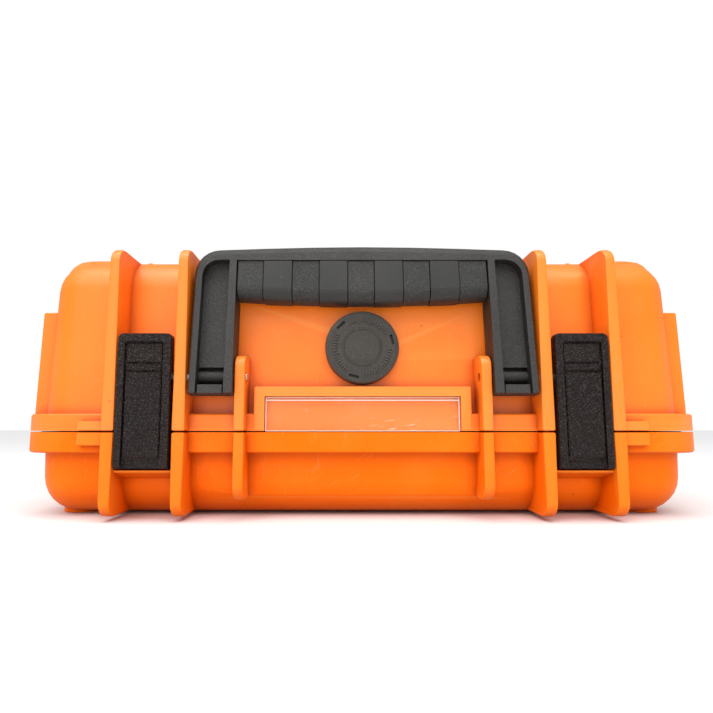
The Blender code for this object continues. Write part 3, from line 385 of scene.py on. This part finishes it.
def carton_card():
    """Printed folding card: green field with a pale band and rubbed corners."""
    s = Shader("carton_card")
    x = s.axis(0)
    low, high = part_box("plaster_box")
    reach = high.x - low.x
    band = s.between(x, low.x + 0.62 * reach, low.x + 0.80 * reach)
    thin = s.between(x, low.x + 0.84 * reach, low.x + 0.86 * reach)
    colour = s.mix(s.span(s.noise(40.0, 3.0, 0.6), 0.3, 0.7), (0.03, 0.23, 0.13, 1), (0.045, 0.29, 0.17, 1))
    colour = s.mix(s.math("MAXIMUM", band, thin), colour, (0.82, 0.83, 0.8, 1))
    worn = s.math("MULTIPLY", s.edges(0.52, 0.57), s.span(s.noise(300.0, 3.0, 0.7), 0.4, 0.6))
    colour = s.mix(worn, colour, (0.8, 0.79, 0.74, 1))
    s.bump(s.noise(700.0, 3.0, 0.7), 0.00006, 0.5)
    s.bump(s.noise(22.0, 2.0, 0.5), 0.0015, 0.2)
    roughness = s.span(s.noise(90.0, 3.0), 0.3, 0.7, 0.4, 0.55)
    return s.finish(colour, roughness, Coat_Weight=0.15, Coat_Roughness=0.3)


def plain_card():
    """Grey board with visible fibres."""
    s = Shader("core_board")
    fibre = s.noise(1.0, 3.0, 0.7, s.stretch(500.0, 500.0, 1500.0))
    colour = s.mix(s.span(fibre, 0.3, 0.7), (0.38, 0.30, 0.21, 1), (0.52, 0.43, 0.31, 1))
    s.bump(fibre, 0.0001, 0.6)
    return s.finish(colour, s.span(s.noise(90.0), 0.3, 0.7, 0.75, 0.9))


def foil():
    """Metallised film, crinkled at several sizes."""
    s = Shader("rescue_foil")
    fold = s.cells(95.0, "DISTANCE_TO_EDGE")
    fine = s.cells(300.0, "DISTANCE_TO_EDGE")
    colour = s.mix(s.span(s.noise(35.0, 3.0, 0.6), 0.3, 0.7), (0.80, 0.50, 0.14, 1), (0.92, 0.64, 0.24, 1))
    s.bump(s.span(fold, 0.0, 0.3), 0.0010, 0.7)
    s.bump(s.span(fine, 0.0, 0.3), 0.0003, 0.6)
    s.bump(s.noise(150.0, 4.0, 0.6), 0.0005, 0.4)
    return s.finish(colour, s.span(s.noise(120.0, 3.0), 0.3, 0.7, 0.16, 0.32), Metallic=1.0)


def tape_cloth():
    """Zinc-oxide tape: fine weave outside, edges of the wound layers on the ends."""
    s = Shader("tape_cloth")
    low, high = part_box("tape_roll")
    centre = (low + high) / 2
    local = s.add("VectorMath", {0: s.place, 1: centre}, operation="SUBTRACT").outputs["Vector"]
    flat = s.add("VectorMath", {0: local, 1: (1.0, 1.0, 0.0)}, operation="MULTIPLY").outputs["Vector"]
    radius = s.add("VectorMath", {0: flat}, operation="LENGTH").outputs["Value"]
    layer = s.math("PINGPONG", radius, 0.00035)
    layer = s.span(layer, 0.0, 0.00035)
    up = s.add("NewGeometry", {}).outputs["Normal"]
    end_face = s.math("ABSOLUTE", s.add("SeparateXYZ", {"Vector": up}).outputs[2])
    weave = s.math("MAXIMUM", s.waves(330.0, "Z", 0.6), s.noise(800.0, 2.0, 0.6))
    pattern = s.blend(s.span(end_face, 0.5, 0.8), weave, layer)
    colour = s.mix(s.span(s.noise(40.0, 3.0, 0.6), 0.3, 0.7), (0.60, 0.44, 0.31, 1), (0.72, 0.55, 0.40, 1))
    colour = s.mix(s.span(pattern, 0.2, 0.8, 0.35, 0.0), colour, (0.36, 0.24, 0.15, 1))
    s.bump(pattern, 0.0001, 0.6)
    return s.finish(colour, s.span(s.noise(90.0), 0.3, 0.7, 0.68, 0.85))


def membrane_felt():
    s = Shader("membrane_felt")
    fibre = s.noise(1800.0, 4.0, 0.75)
    colour = s.mix(s.span(fibre, 0.3, 0.7), (0.66, 0.66, 0.64, 1), (0.82, 0.82, 0.80, 1))
    s.bump(fibre, 0.00005, 0.6)
    return s.finish(colour, s.span(s.noise(300.0), 0.3, 0.7, 0.7, 0.85))


def plain_paper():
    """Blue paper band."""
    s = Shader("band_paper")
    colour = s.mix(s.span(s.noise(300.0, 3.0, 0.7), 0.3, 0.7), (0.06, 0.25, 0.44, 1), (0.09, 0.31, 0.52, 1))
    s.bump(s.noise(1100.0, 3.0, 0.7), 0.00004, 0.5)
    return s.finish(colour, s.span(s.noise(200.0), 0.3, 0.7, 0.55, 0.7))


def floor_paint():
    s = Shader("floor_white")
    colour = s.mix(s.noise(2.0, 2.0, 0.5), (0.87, 0.87, 0.87, 1), (0.89, 0.89, 0.89, 1))
    return s.finish(colour, 0.6)


# ---------------------------------------------------------------- scene

def link(obj):
    bpy.context.scene.collection.objects.link(obj)
    return obj


def add_camera():
    """Close wide view, square to the front and tilted slightly up, as in a hand-held product shot."""
    data = bpy.data.cameras.new("camera")
    data.lens = 25.0
    data.sensor_width = 36.0
    data.shift_x = 0.026
    data.shift_y = 0.024
    data.clip_start = 0.01
    camera = link(bpy.data.objects.new("camera", data))
    camera.location = (-11.4 * MM, RIB_PLANE - 0.222, PARTING + 2.1 * MM)
    camera.rotation_euler = (math.radians(90 + 6.15), 0.0, 0.0)
    bpy.context.scene.camera = camera


def add_area(name, place, target, size, watts):
    data = bpy.data.lights.new(name, "AREA")
    data.shape = "RECTANGLE"
    data.size, data.size_y = size
    data.energy = watts
    light = link(bpy.data.objects.new(name, data))
    light.location = place
    light.rotation_euler = (Vector(target) - Vector(place)).to_track_quat("-Z", "Y").to_euler()


def add_stage():
    mesh = bpy.data.meshes.new("floor")
    bm = bmesh.new()
    bmesh.ops.create_grid(bm, x_segments=8, y_segments=8, size=6.0)
    bm.to_mesh(mesh)
    bm.free()
    mesh.materials.append(floor_paint())
    link(bpy.data.objects.new("floor", mesh))
    world = bpy.data.worlds.new("studio")
    world.use_nodes = True
    tree = world.node_tree
    tree.nodes["Background"].inputs["Color"].default_value = (1, 1, 1, 1)
    seen = tree.nodes.new("ShaderNodeLightPath").outputs["Is Camera Ray"]
    strength = tree.nodes.new("ShaderNodeMapRange")
    strength.inputs["To Min"].default_value = FILL_LIGHT
    strength.inputs["To Max"].default_value = 1.0
    tree.links.new(seen, strength.inputs["Value"])
    tree.links.new(strength.outputs["Result"], tree.nodes["Background"].inputs["Strength"])
    bpy.context.scene.world = world
    bpy.context.scene.view_settings.view_transform = "Standard"
    add_area("overhead", (0.0, -0.40, 1.05), (0.0, -0.08, 0.05), (1.0, 0.6), 5.0)
    add_area("front_soft", (-0.2, -1.2, 0.55), (0.0, -0.1, 0.08), (1.8, 1.1), 5.0)
    sky = bpy.data.lights.new("sky", "SUN")
    sky.energy = 2.1
    sky.angle = math.radians(70)
    sun = link(bpy.data.objects.new("sky", sky))
    sun.rotation_euler = (math.radians(24), math.radians(-8), 0.0)


# ---------------------------------------------------------------- carried-over nodes

def dress(name, material):
    """Give a CAD node its material."""
    mesh = nodes[name].data
    for i in range(max(1, len(mesh.materials))):
        if i < len(mesh.materials):
            mesh.materials[i] = material
        else:
            mesh.materials.append(material)


def soften(name, width):
    """Small rounded edges on a CAD node, by modifiers alone."""
    obj = nodes[name]
    weld = obj.modifiers.new("weld", "WELD")
    weld.merge_threshold = 0.01 * MM
    flat = obj.modifiers.new("flat", "DECIMATE")
    flat.decimate_type = "DISSOLVE"
    flat.angle_limit = math.radians(0.4)
    edge = obj.modifiers.new("edge", "BEVEL")
    edge.width = width
    edge.segments = 2
    edge.limit_method = "ANGLE"
    edge.angle_limit = math.radians(28.0)
    obj.data.shade_smooth()
    weigh = obj.modifiers.new("weigh", "WEIGHTED_NORMAL")
    weigh.weight = 60


# ---------------------------------------------------------------- pieces

def make_piece(name, bm, material, slot, body, *stands_for):
    """Turn a bmesh into a piece that rides on a body and stands for CAD nodes."""
    bmesh.ops.remove_doubles(bm, verts=bm.verts, dist=0.000005)
    bmesh.ops.recalc_face_normals(bm, faces=bm.faces)
    mesh = bpy.data.meshes.new(name)
    bm.to_mesh(mesh)
    bm.free()
    mesh.materials.append(material)
    obj = link(bpy.data.objects.new(name, mesh))
    mesh.shade_smooth()
    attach(obj, body)
    if stands_for:
        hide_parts(*stands_for)
    return obj


def skin(bm, loops, caps=True):
    """Join a row of closed point loops by quads, with a face over each end."""
    rows = [[bm.verts.new(point) for point in loop] for loop in loops]
    count = len(rows[0])
    for a, b in zip(rows, rows[1:]):
        for i in range(count):
            j = (i + 1) % count
            bm.faces.new((a[i], a[j], b[j], b[i]))
    if caps:
        bm.faces.new(rows[0])
        bm.faces.new(rows[-1])


def wobble(point, scale, amount, seed=0.0):
    """Small smooth displacement that depends on place alone."""
    where = Vector(point) * scale + Vector((seed, seed * 1.7, -seed))
    return noise.noise_vector(where) * amount


def rounded_ring(centre, half, radius, steps, height, spread=16):
    """Rounded rectangle in the XY plane, counter-clockwise, with evenly spread points on its sides."""
    points = []
    cx, cy = half[0] - radius, half[1] - radius
    corners = (((1, -1), -90), ((1, 1), 0), ((-1, 1), 90), ((-1, -1), 180))
    for index, (sign, start) in enumerate(corners):
        for i in range(steps + 1):
            angle = math.radians(start + 90.0 * i / steps)
            points.append((sign[0] * cx + radius * math.cos(angle), sign[1] * cy + radius * math.sin(angle)))
        following = corners[(index + 1) % 4][0]
        end = (following[0] * cx, following[1] * cy)
        begin = (sign[0] * cx, sign[1] * cy)
        angle = math.radians(start + 90.0)
        offset = (radius * math.cos(angle), radius * math.sin(angle))
        for i in range(1, spread):
            t = i / spread
            points.append((begin[0] + (end[0] - begin[0]) * t + offset[0],
                           begin[1] + (end[1] - begin[1]) * t + offset[1]))
    return [Vector((centre.x + x, centre.y + y, height)) for x, y in points]


def disc_rings(ring, centre, count, surface):
    """Rings from near the centre out to ring, lifted by surface(x, y, share)."""
    rows = []
    for i in range(1, count + 1):
        share = i / count
        row = []
        for point in ring:
            x = centre.x + (point.x - centre.x) * share
            y = centre.y + (point.y - centre.y) * share
            row.append(Vector((x, y, surface(x, y, share))))
        rows.append(row)
    return rows


def add_lid_foam(material):
    """Egg-crate foam pad under the lid's roof."""
    low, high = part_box("lid_foam")
    centre = (low + high) / 2
    half = ((high.x - low.x) / 2 - 0.3 * MM, (high.y - low.y) / 2 - 0.3 * MM)
    corner, corner_steps, spread, rings = 15 * MM, 8, 72, 58
    pitch = 24.0 * MM
    swing = 4.0 * MM
    middle = low.z + swing + 0.6 * MM

    def crate(x, y, share):
        wave = math.sin(2 * math.pi * x / pitch) * math.sin(2 * math.pi * y / pitch)
        fade = min(1.0, (1.0 - share) / 0.06)
        return middle + swing * (wave * fade + 0.4 * (1 - fade))

    ring = rounded_ring(centre, half, corner, corner_steps, 0.0, spread)
    rows = disc_rings(ring, centre, rings, crate)
    side = ((0.0, middle + 3 * MM), (0.5 * MM, high.z - 12 * MM), (4.5 * MM, high.z - 5 * MM),
            (13 * MM, high.z))
    for inset, height in side:
        size = (half[0] - inset, half[1] - inset)
        rows.append(rounded_ring(centre, size, corner, corner_steps, height, spread))
    bm = bmesh.new()
    skin(bm, rows)
    make_piece("lid_foam_pad", bm, material, "foam", "lid", "lid_foam")


def add_base_mat(material):
    """Thin foam mat on the case's floor, with a pressed grid of dimples."""
    low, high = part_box("base_mat")
    centre = (low + high) / 2
    half = ((high.x - low.x) / 2, (high.y - low.y) / 2)
    corner, corner_steps, spread, rings = 12 * MM, 8, 90, 80
    rounding = 0.5 * MM
    pitch = 14.0 * MM

    def dimples(x, y, share):
        wave = math.cos(2 * math.pi * x / pitch) * math.cos(2 * math.pi * y / pitch)
        return high.z - 0.45 * MM + 0.4 * MM * wave * min(1.0, (1 - share) / 0.05)

    ring = rounded_ring(centre, half, corner, corner_steps, 0.0, spread)
    rows = disc_rings(ring, centre, rings, dimples)
    for inset, height in ((0.0, low.z + rounding), (rounding, low.z)):
        size = (half[0] - inset, half[1] - inset)
        rows.append(rounded_ring(centre, size, corner, corner_steps, height, spread))
    bm = bmesh.new()
    skin(bm, rows)
    make_piece("floor_mat", bm, material, "foam", "base", "base_mat")


def add_divider(node, material):
    """Padded partition: quilted faces, a rounded binding on top and plain lower edges."""
    low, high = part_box(node)
    along = 0 if high.x - low.x > high.y - low.y else 1
    length = high[along] - low[along]
    thick = (high[1 - along] - low[1 - along]) / 2
    middle = (high[1 - along] + low[1 - along]) / 2
    steps = max(8, int(length / (2.5 * MM)))
    levels = 16
    binding = 4.0 * MM
    quilt_pitch = 24.0 * MM
    end_rounding = 1.6 * MM
    rows = []
    for i in range(steps + 1):
        t = i / steps
        position = low[along] + length * t
        end = min(1.0, min(t, 1 - t) * length / end_rounding)
        quilt = abs(math.sin(math.pi * (position - low[along]) / quilt_pitch)) ** 0.35
        half_loop = []
        for j in range(levels + 1):
            height = low.z + (high.z - low.z) * j / levels
            body = 0.70 + 0.26 * quilt * (1.0 - abs(2.0 * j / levels - 0.9) ** 4)
            if height > high.z - binding:
                rise = (height - (high.z - binding / 2)) / (binding / 2)
                body = 0.35 + 0.65 * math.sqrt(max(0.0, 1.0 - rise * rise * 0.98))
            half_loop.append((thick * body * (0.45 + 0.55 * math.sqrt(end)), height))
        loop = half_loop + [(-offset, height) for offset, height in reversed(half_loop)]
        row = []
        for offset, height in loop:
            point = Vector((0.0, 0.0, height))
            point[along] = position
            point[1 - along] = middle + offset
            row.append(point)
        rows.append(row)
    bm = bmesh.new()
    skin(bm, rows)
    make_piece(node + "_pad", bm, material, "divider", "base", node)


def add_bandage_roll(node, material, seed):
    """Gauze bandage wound in many layers."""
    low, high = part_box(node)
    centre = (low + high) / 2
    outer = (high.z - low.z) / 2 - ROLL_PLAY
    turns = 13
    steps = 44
    core = 2.6 * MM
    pitch = (outer - core) / turns
    thick = 0.74 * pitch
    inner_side, outer_side = [], []
    for i in range(turns * steps + 1):
        angle = 2 * math.pi * i / steps
        radius = core + pitch * i / steps + 0.22 * MM * math.sin(3 * angle + seed)
        radius = min(radius, outer - 0.05 * MM)
        flat = 1.0 - 0.018 * max(0.0, -math.sin(angle))
        for side, r in ((inner_side, radius - thick), (outer_side, radius)):
            side.append((r * math.cos(angle), r * math.sin(angle) * flat))
    profile = outer_side + inner_side[::-1]
    bm = bmesh.new()
    rows = []
    columns = 9
    for c in range(columns + 1):
        share = c / columns
        row = []
        for index, (y, z) in enumerate(profile):
            ragged = 0.55 * MM * math.sin(index * 0.11 + seed) * (2 * share - 1)
            x = low.x + 0.8 * MM + (high.x - low.x - 1.6 * MM) * share + ragged
            swell = 1.0 - 0.012 * math.cos(math.pi * (2 * share - 1))
            row.append(Vector((x, centre.y + y * swell, centre.z + z * swell)))
        rows.append(row)
    skin(bm, rows)
    make_piece(node + "_wound", bm, material, "gauze", "base", node)


def add_roll_band(node, material):
    """Paper band that holds a bandage roll."""
    low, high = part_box(node)
    centre = (low + high) / 2
    outer = (high.z - low.z) / 2 - ROLL_PLAY
    rows = []
    width = 15.0 * MM
    steps = 96
    for x, r in ((-0.5, -0.25), (-0.5, 0.10), (-0.47, 0.16), (0.47, 0.16), (0.5, 0.10), (0.5, -0.25)):
        radius = outer + r * MM
        row = []
        for i in range(steps):
            angle = 2 * math.pi * i / steps
            row.append(Vector((centre.x + x * width, centre.y + radius * math.cos(angle),
                               centre.z + radius * math.sin(angle))))
        rows.append(row)
    bm = bmesh.new()
    skin(bm, rows + rows[:1], caps=False)
    make_piece(node + "_band", bm, material, "paper", "base")


def folded_path(layers, reach, pitch, start):
    """Middle line of a strip folded back and forth, as (x, z) points."""
    radius = pitch / 2
    straight, turn = 12, 6
    path = []
    for layer in range(layers):
        height = start + pitch * (layer + 0.5)
        sign = 1 if layer % 2 == 0 else -1
        for i in range(straight + 1):
            path.append((sign * reach * (2 * i / straight - 1), height))
        if layer < layers - 1:
            for i in range(1, turn):
                angle = -math.pi / 2 + math.pi * i / turn
                x = sign * (reach + radius * math.cos(angle))
                path.append((x, height + radius + radius * math.sin(angle)))
    return path


def add_cloth_pack(material):
    """Triangular bandage folded back and forth into a pack."""
    low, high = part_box("triangular_bandage")
    layers = 7
    pitch = (high.z - low.z - 0.6 * MM) / layers
    thick = 0.80 * pitch
    reach = (high.x - low.x) / 2 - pitch / 2 - 1.2 * MM
    centre = (low + high) / 2
    path = folded_path(layers, reach, pitch, low.z + 0.3 * MM)
    sides = ([], [])
    for i, (x, z) in enumerate(path):
        before, after = path[max(0, i - 1)], path[min(len(path) - 1, i + 1)]
        tangent = Vector((after[0] - before[0], after[1] - before[1])).normalized()
        for side, sign in zip(sides, (1, -1)):
            side.append((x - tangent.y * sign * thick / 2, z + tangent.x * sign * thick / 2))
    profile = sides[0] + sides[1][::-1]
    bm = bmesh.new()
    rows = []
    columns = 36
    for c in range(columns + 1):
        share = c / columns
        row = []
        for x, z in profile:
            level = (z - low.z) / (high.z - low.z)
            ragged = 1.3 * MM * math.sin(9.0 * level + 1.0) * (2 * share - 1)
            y = low.y + 2.0 * MM + (high.y - low.y - 4.0 * MM) * share + ragged
            point = Vector((centre.x + x, y, z))
            push = wobble(point, 42.0, 0.55 * MM, 2.0)
            droop = 1.6 * MM * (abs(2 * share - 1) ** 4 + (abs(x) / reach) ** 6 * 0.7) * level
            point += Vector((push.x, 0.0, 0.35 * push.z - droop))
            row.append(point)
        rows.append(row)
    skin(bm, rows)
    folds = make_piece("triangular_bandage_folds", bm, material, "cloth", "base", "triangular_bandage")


def add_sachet(name, node, material, seed):
    """Flat packet: a thin sealed edge all round and a soft filled middle."""
    columns, lines = 64, 56
    seal, slope, crinkle = 5.0 * MM, 9.0 * MM, 0.5 * MM
    low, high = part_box(node)
    centre = (low + high) / 2
    half = (high - low) / 2
    bm = bmesh.new()
    sides = []
    for sign in (1, -1):
        grid = []
        for i in range(columns + 1):
            u = -1 + 2 * i / columns
            row = []
            for j in range(lines + 1):
                v = -1 + 2 * j / lines
                x, y = u * half.x, v * half.y
                inner = min(half.x - abs(x), half.y - abs(y))
                fill = min(1.0, max(0.0, (inner - seal) / slope))
                fill = math.sin(fill * math.pi / 2) ** 0.8
                depth = 0.35 * MM + (half.z - 0.9 * MM - crinkle) * fill
                ripple = wobble((x, y, 0.0), 55.0, 1.0, seed + sign).z * crinkle * (0.35 + 0.65 * fill)
                z = sign * (depth + ripple)
                wave = 0.6 * MM * math.sin(x * 95.0 + seed) * (1 - fill)
                row.append(Vector((centre.x + x, centre.y + y, centre.z - 0.4 * MM + z + wave)))
            grid.append(row)
        sides.append(grid)
    verts = [[[bm.verts.new(p) for p in row] for row in grid] for grid in sides]
    for grid in verts:
        for a, b in zip(grid, grid[1:]):
            for j in range(lines):
                bm.faces.new((a[j], a[j + 1], b[j + 1], b[j]))
    border = []
    for grid in verts:
        loop = [grid[i][0] for i in range(columns + 1)]
        loop += [grid[columns][j] for j in range(1, lines + 1)]
        loop += [grid[i][lines] for i in range(columns - 1, -1, -1)]
        loop += [grid[0][j] for j in range(lines - 1, 0, -1)]
        border.append(loop)
    for i in range(len(border[0])):
        j = (i + 1) % len(border[0])
        bm.faces.new((border[0][i], border[0][j], border[1][j], border[1][i]))
    make_piece(name, bm, material, "paper", "base", node)


def add_foil_blanket(material):
    """Rescue blanket folded small: crinkled film with its fold layers showing at the sides."""
    low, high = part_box("foil_blanket")
    centre = (low + high) / 2
    half = (high - low) / 2 - Vector((1.6, 1.6, 1.2)) * MM
    bm = bmesh.new()
    rows = []
    levels = 30
    folds = 9
    top_rings = 34

    def crumple(point, seed):
        big = wobble(point, 60.0, 1.3 * MM, seed)
        ridge = abs(noise.noise(point * 130.0 + Vector((seed, 0, 0)))) - 0.25
        return big + Vector((0, 0, 1.1 * MM * ridge))

    def ring_at(share, level):
        inset = 0.0
        layer = abs(math.sin(math.pi * folds * (level + 1) / 2))
        inset += 1.0 * MM * (1 - layer)
        round_off = max(0.0, abs(level) - 0.75) / 0.25
        inset += 2.5 * MM * round_off ** 2
        size = ((half.x - inset) * share, (half.y - inset) * share)
        ring = rounded_ring(centre, size, 5 * MM * share, 5, centre.z + half.z * level)
        return [point + crumple(point, 4.0) * 0.8 for point in ring]

    for i in range(1, top_rings):
        rows.append(ring_at(i / top_rings, -1.0))
    for i in range(levels + 1):
        rows.append(ring_at(1.0, -1.0 + 2.0 * i / levels))
    for i in range(top_rings - 1, 0, -1):
        rows.append(ring_at(i / top_rings, 1.0))
    skin(bm, rows)
    make_piece("foil_blanket_folded", bm, material, "foil", "base", "foil_blanket")


def add_plaster_carton(material):
    """Folding carton: rounded card edges and a lid flap with its tuck line."""
    low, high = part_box("plaster_box")
    centre = (low + high) / 2
    half = (high - low) / 2 - Vector((1, 1, 1)) * CARTON_PLAY
    rows = []
    flap = half.z - 7.0 * MM
    levels = ((-half.z, 0.7), (-half.z + 0.5 * MM, 0.1), (0.0, 0.0), (flap - 0.25 * MM, 0.05), (flap, 0.45),
              (flap + 0.3 * MM, 0.45), (flap + 0.55 * MM, -0.15), (half.z - 0.5 * MM, -0.1), (half.z, 0.6))
    for height, inset in levels:
        size = (half.x - inset * MM, half.y - inset * MM)
        ring = rounded_ring(centre, size, 0.8 * MM, 3, centre.z + height)
        rows.append([bowed(point, centre, half) for point in ring])
    top = rounded_ring(centre, (half.x - 0.6 * MM, half.y - 0.6 * MM), 0.8 * MM, 3, 0.0)

    def crown(x, y, share):
        return centre.z + half.z - 0.45 * MM * (1 - share) + 0.2 * MM * math.sin(x * 60) * (1 - share)

    rows += disc_rings(top, centre, 12, crown)[-2::-1]
    bm = bmesh.new()
    skin(bm, rows)
    make_piece("plaster_carton", bm, material, "card", "base", "plaster_box")


def add_thumb_tab(material):
    """Half-round tab of bare board under the carton's flap."""
    low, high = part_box("plaster_box")
    centre = (low + high) / 2
    top = high.z - CARTON_PLAY - 0.6 * MM
    steps = 24
    ring = []
    for i in range(steps + 1):
        angle = math.pi * i / steps
        ring.append((centre.x + 9 * MM * math.cos(angle), top - 5.5 * MM * math.sin(angle)))
    front = low.y + 0.14 * MM
    bm = bmesh.new()
    skin(bm, [[Vector((x, depth, z)) for x, z in ring] for depth in (front, front + 0.32 * MM)])
    make_piece("carton_thumb_tab", bm, material, "card", "base")


def bowed(point, centre, half):
    """Card walls bow out a little between their corners."""
    dx = (point.x - centre.x) / half.x
    dy = (point.y - centre.y) / half.y
    bow = 0.25 * MM
    x = point.x - bow * (1 if dx > 0.97 else -1 if dx < -0.97 else 0) * dy * dy
    y = point.y - bow * (1 if dy > 0.97 else -1 if dy < -0.97 else 0) * dx * dx
    return Vector((x, y, point.z))


def add_valve_ticks(material):
    """Raised radial ticks round the valve cap, between its three slots."""
    low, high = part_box("valve_cap")
    centre = (low + high) / 2
    slope = math.radians(2.0)
    face = low.y + 0.42 * MM
    slots = (14.0, 134.0, 254.0)
    slot_room = 13.0
    count = 60
    bm = bmesh.new()
    for step in range(count):
        angle = step * 360.0 / count + 2.0
        if min(abs((angle - slot + 180) % 360 - 180) for slot in slots) < slot_room:
            continue
        inner, outer = (11.3, 13.9) if step % 4 == 0 else (12.1, 13.9)
        turn = math.radians(angle)
        out = Vector((math.cos(turn), math.sin(turn)))
        side = Vector((-out.y, out.x)) * 0.27
        loops = []
        for depth, shrink in ((0.25, 0.0), (-0.20, 0.0), (-0.32, 0.35)):
            loop = []
            for r, sign in ((inner + shrink * 0.3, -1), (outer - shrink * 0.3, -1), (outer - shrink * 0.3, 1),
                            (inner + shrink * 0.3, 1)):
                spot = out * r + side * sign * (1 - shrink)
                height = spot.y * MM
                loop.append(Vector((centre.x + spot.x * MM, face + depth * MM + height * math.sin(slope),
                                    centre.z + height)))
            loops.append(loop)
        skin(bm, loops)
    make_piece("valve_ticks", bm, material, "valve_plastic", "lid")


def add_tape_end(material):
    """Free end of the tape, lifted a little off the roll."""
    low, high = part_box("tape_roll")
    centre = (low + high) / 2
    radius = (high.x - low.x) / 2
    start, sweep, steps = 205, 42, 24
    curl = 0.2
    rows = []
    for lift in (-0.45, -0.05):
        row = []
        for i in range(steps + 1):
            share = i / steps
            angle = math.radians(start + sweep * share)
            r = radius + lift * MM
            if share < curl:
                r += 0.35 * MM * (1 - share / curl) - 0.3 * MM
            row.append((centre.x + r * math.cos(angle), centre.y + r * math.sin(angle)))
        rows.append(row)
    profile = rows[0] + rows[1][::-1]
    bm = bmesh.new()
    skin(bm, [[Vector((x, y, z)) for x, y in profile] for z in (low.z + 0.2 * MM, high.z - 0.2 * MM)])
    make_piece("tape_free_end", bm, material, "tape", "base")


add_camera()
add_stage()

orange_lid = orange_plastic("orange_lid", 0.0, (ORANGE_DEEP, ORANGE), 0.5)
# painted shade: the base shell's plastic is given darker tones than the lid's
orange_base = orange_plastic("orange_base", 3.7, (ORANGE_BASE_SHADED, ORANGE_DEEP), 0.08)
dress("lid_shell", orange_lid)
dress("base_shell", orange_base)
soften("lid_shell", 0.25 * MM)
soften("base_shell", 0.25 * MM)

handle_nylon = black_nylon("handle_nylon", (0.0085, 0.0078, 0.0068), 1250.0, 0.0005, 0.75)
dress("handle_frame", handle_nylon)
soften("handle_frame", 0.4 * MM)
dress("handle_grip", grip_rubber([x * MM for x in (-46.4, -32.8, -20.2, -6.8, 5.6, 19.1, 31.6, 45.4)]))
leather = latch_plastic()
for side in ("left", "right"):
    dress("latch_" + side, leather)
    soften("latch_" + side, 0.35 * MM)
    dress("hinge_pin_" + side, steel("hinge_steel_" + side))
    dress("front_pin_" + side, steel("pin_steel_" + side))
valve_satin = black_nylon("valve_satin", (0.0165, 0.0138, 0.0108), 1500.0, 0.00016, 0.6)
dress("valve_cap", valve_satin)
for name in ("valve_body", "valve_nut"):
    dress(name, handle_nylon)
dress("valve_o_ring", rubber_seal())
dress("gasket", rubber_seal())
dress("valve_membrane", membrane_felt())
dress("label_window", clear_plastic())
dress("tweezers", steel("tweezer_steel"))
tape_finish = tape_cloth()
board_grey = plain_card()
dress("tape_roll", tape_finish)
dress("tape_core", board_grey)
soften("tape_roll", 0.4 * MM)
soften("tape_core", 0.25 * MM)
soften("tweezers", 0.3 * MM)

foam_dark = open_foam("foam_dark", (0.034, 0.034, 0.037), 900.0)
cloth_grey = divider_cloth()
gauze_weave = woven("gauze_weave", "X", "Z", 230.0, (0.86, 0.85, 0.80, 1), (0.74, 0.72, 0.66, 1), 0.0003)
cotton_weave = woven("cotton_weave", "X", "Y", 420.0, (0.84, 0.79, 0.66, 1), (0.72, 0.66, 0.53, 1), 0.00016)
band_paper = plain_paper()
foil_film = foil()
carton_print = carton_card()
sachet = sachet_paper()
add_lid_foam(foam_dark)
add_base_mat(foam_dark)
for part in ("long", "front_left", "front_right", "back_left", "back_right"):
    add_divider("divider_" + part, cloth_grey)
for roll, seed in (("bandage_roll_1", 0.0), ("bandage_roll_2", 1.9)):
    add_bandage_roll(roll, gauze_weave, seed)
    add_roll_band(roll, band_paper)
add_cloth_pack(cotton_weave)
add_foil_blanket(foil_film)
for i in (1, 2, 3):
    add_sachet("gauze_sachet_%d" % i, "gauze_pack_%d" % i, sachet, 3.0 * i)
add_plaster_carton(carton_print)
add_thumb_tab(board_grey)
add_tape_end(tape_finish)
add_valve_ticks(valve_satin)
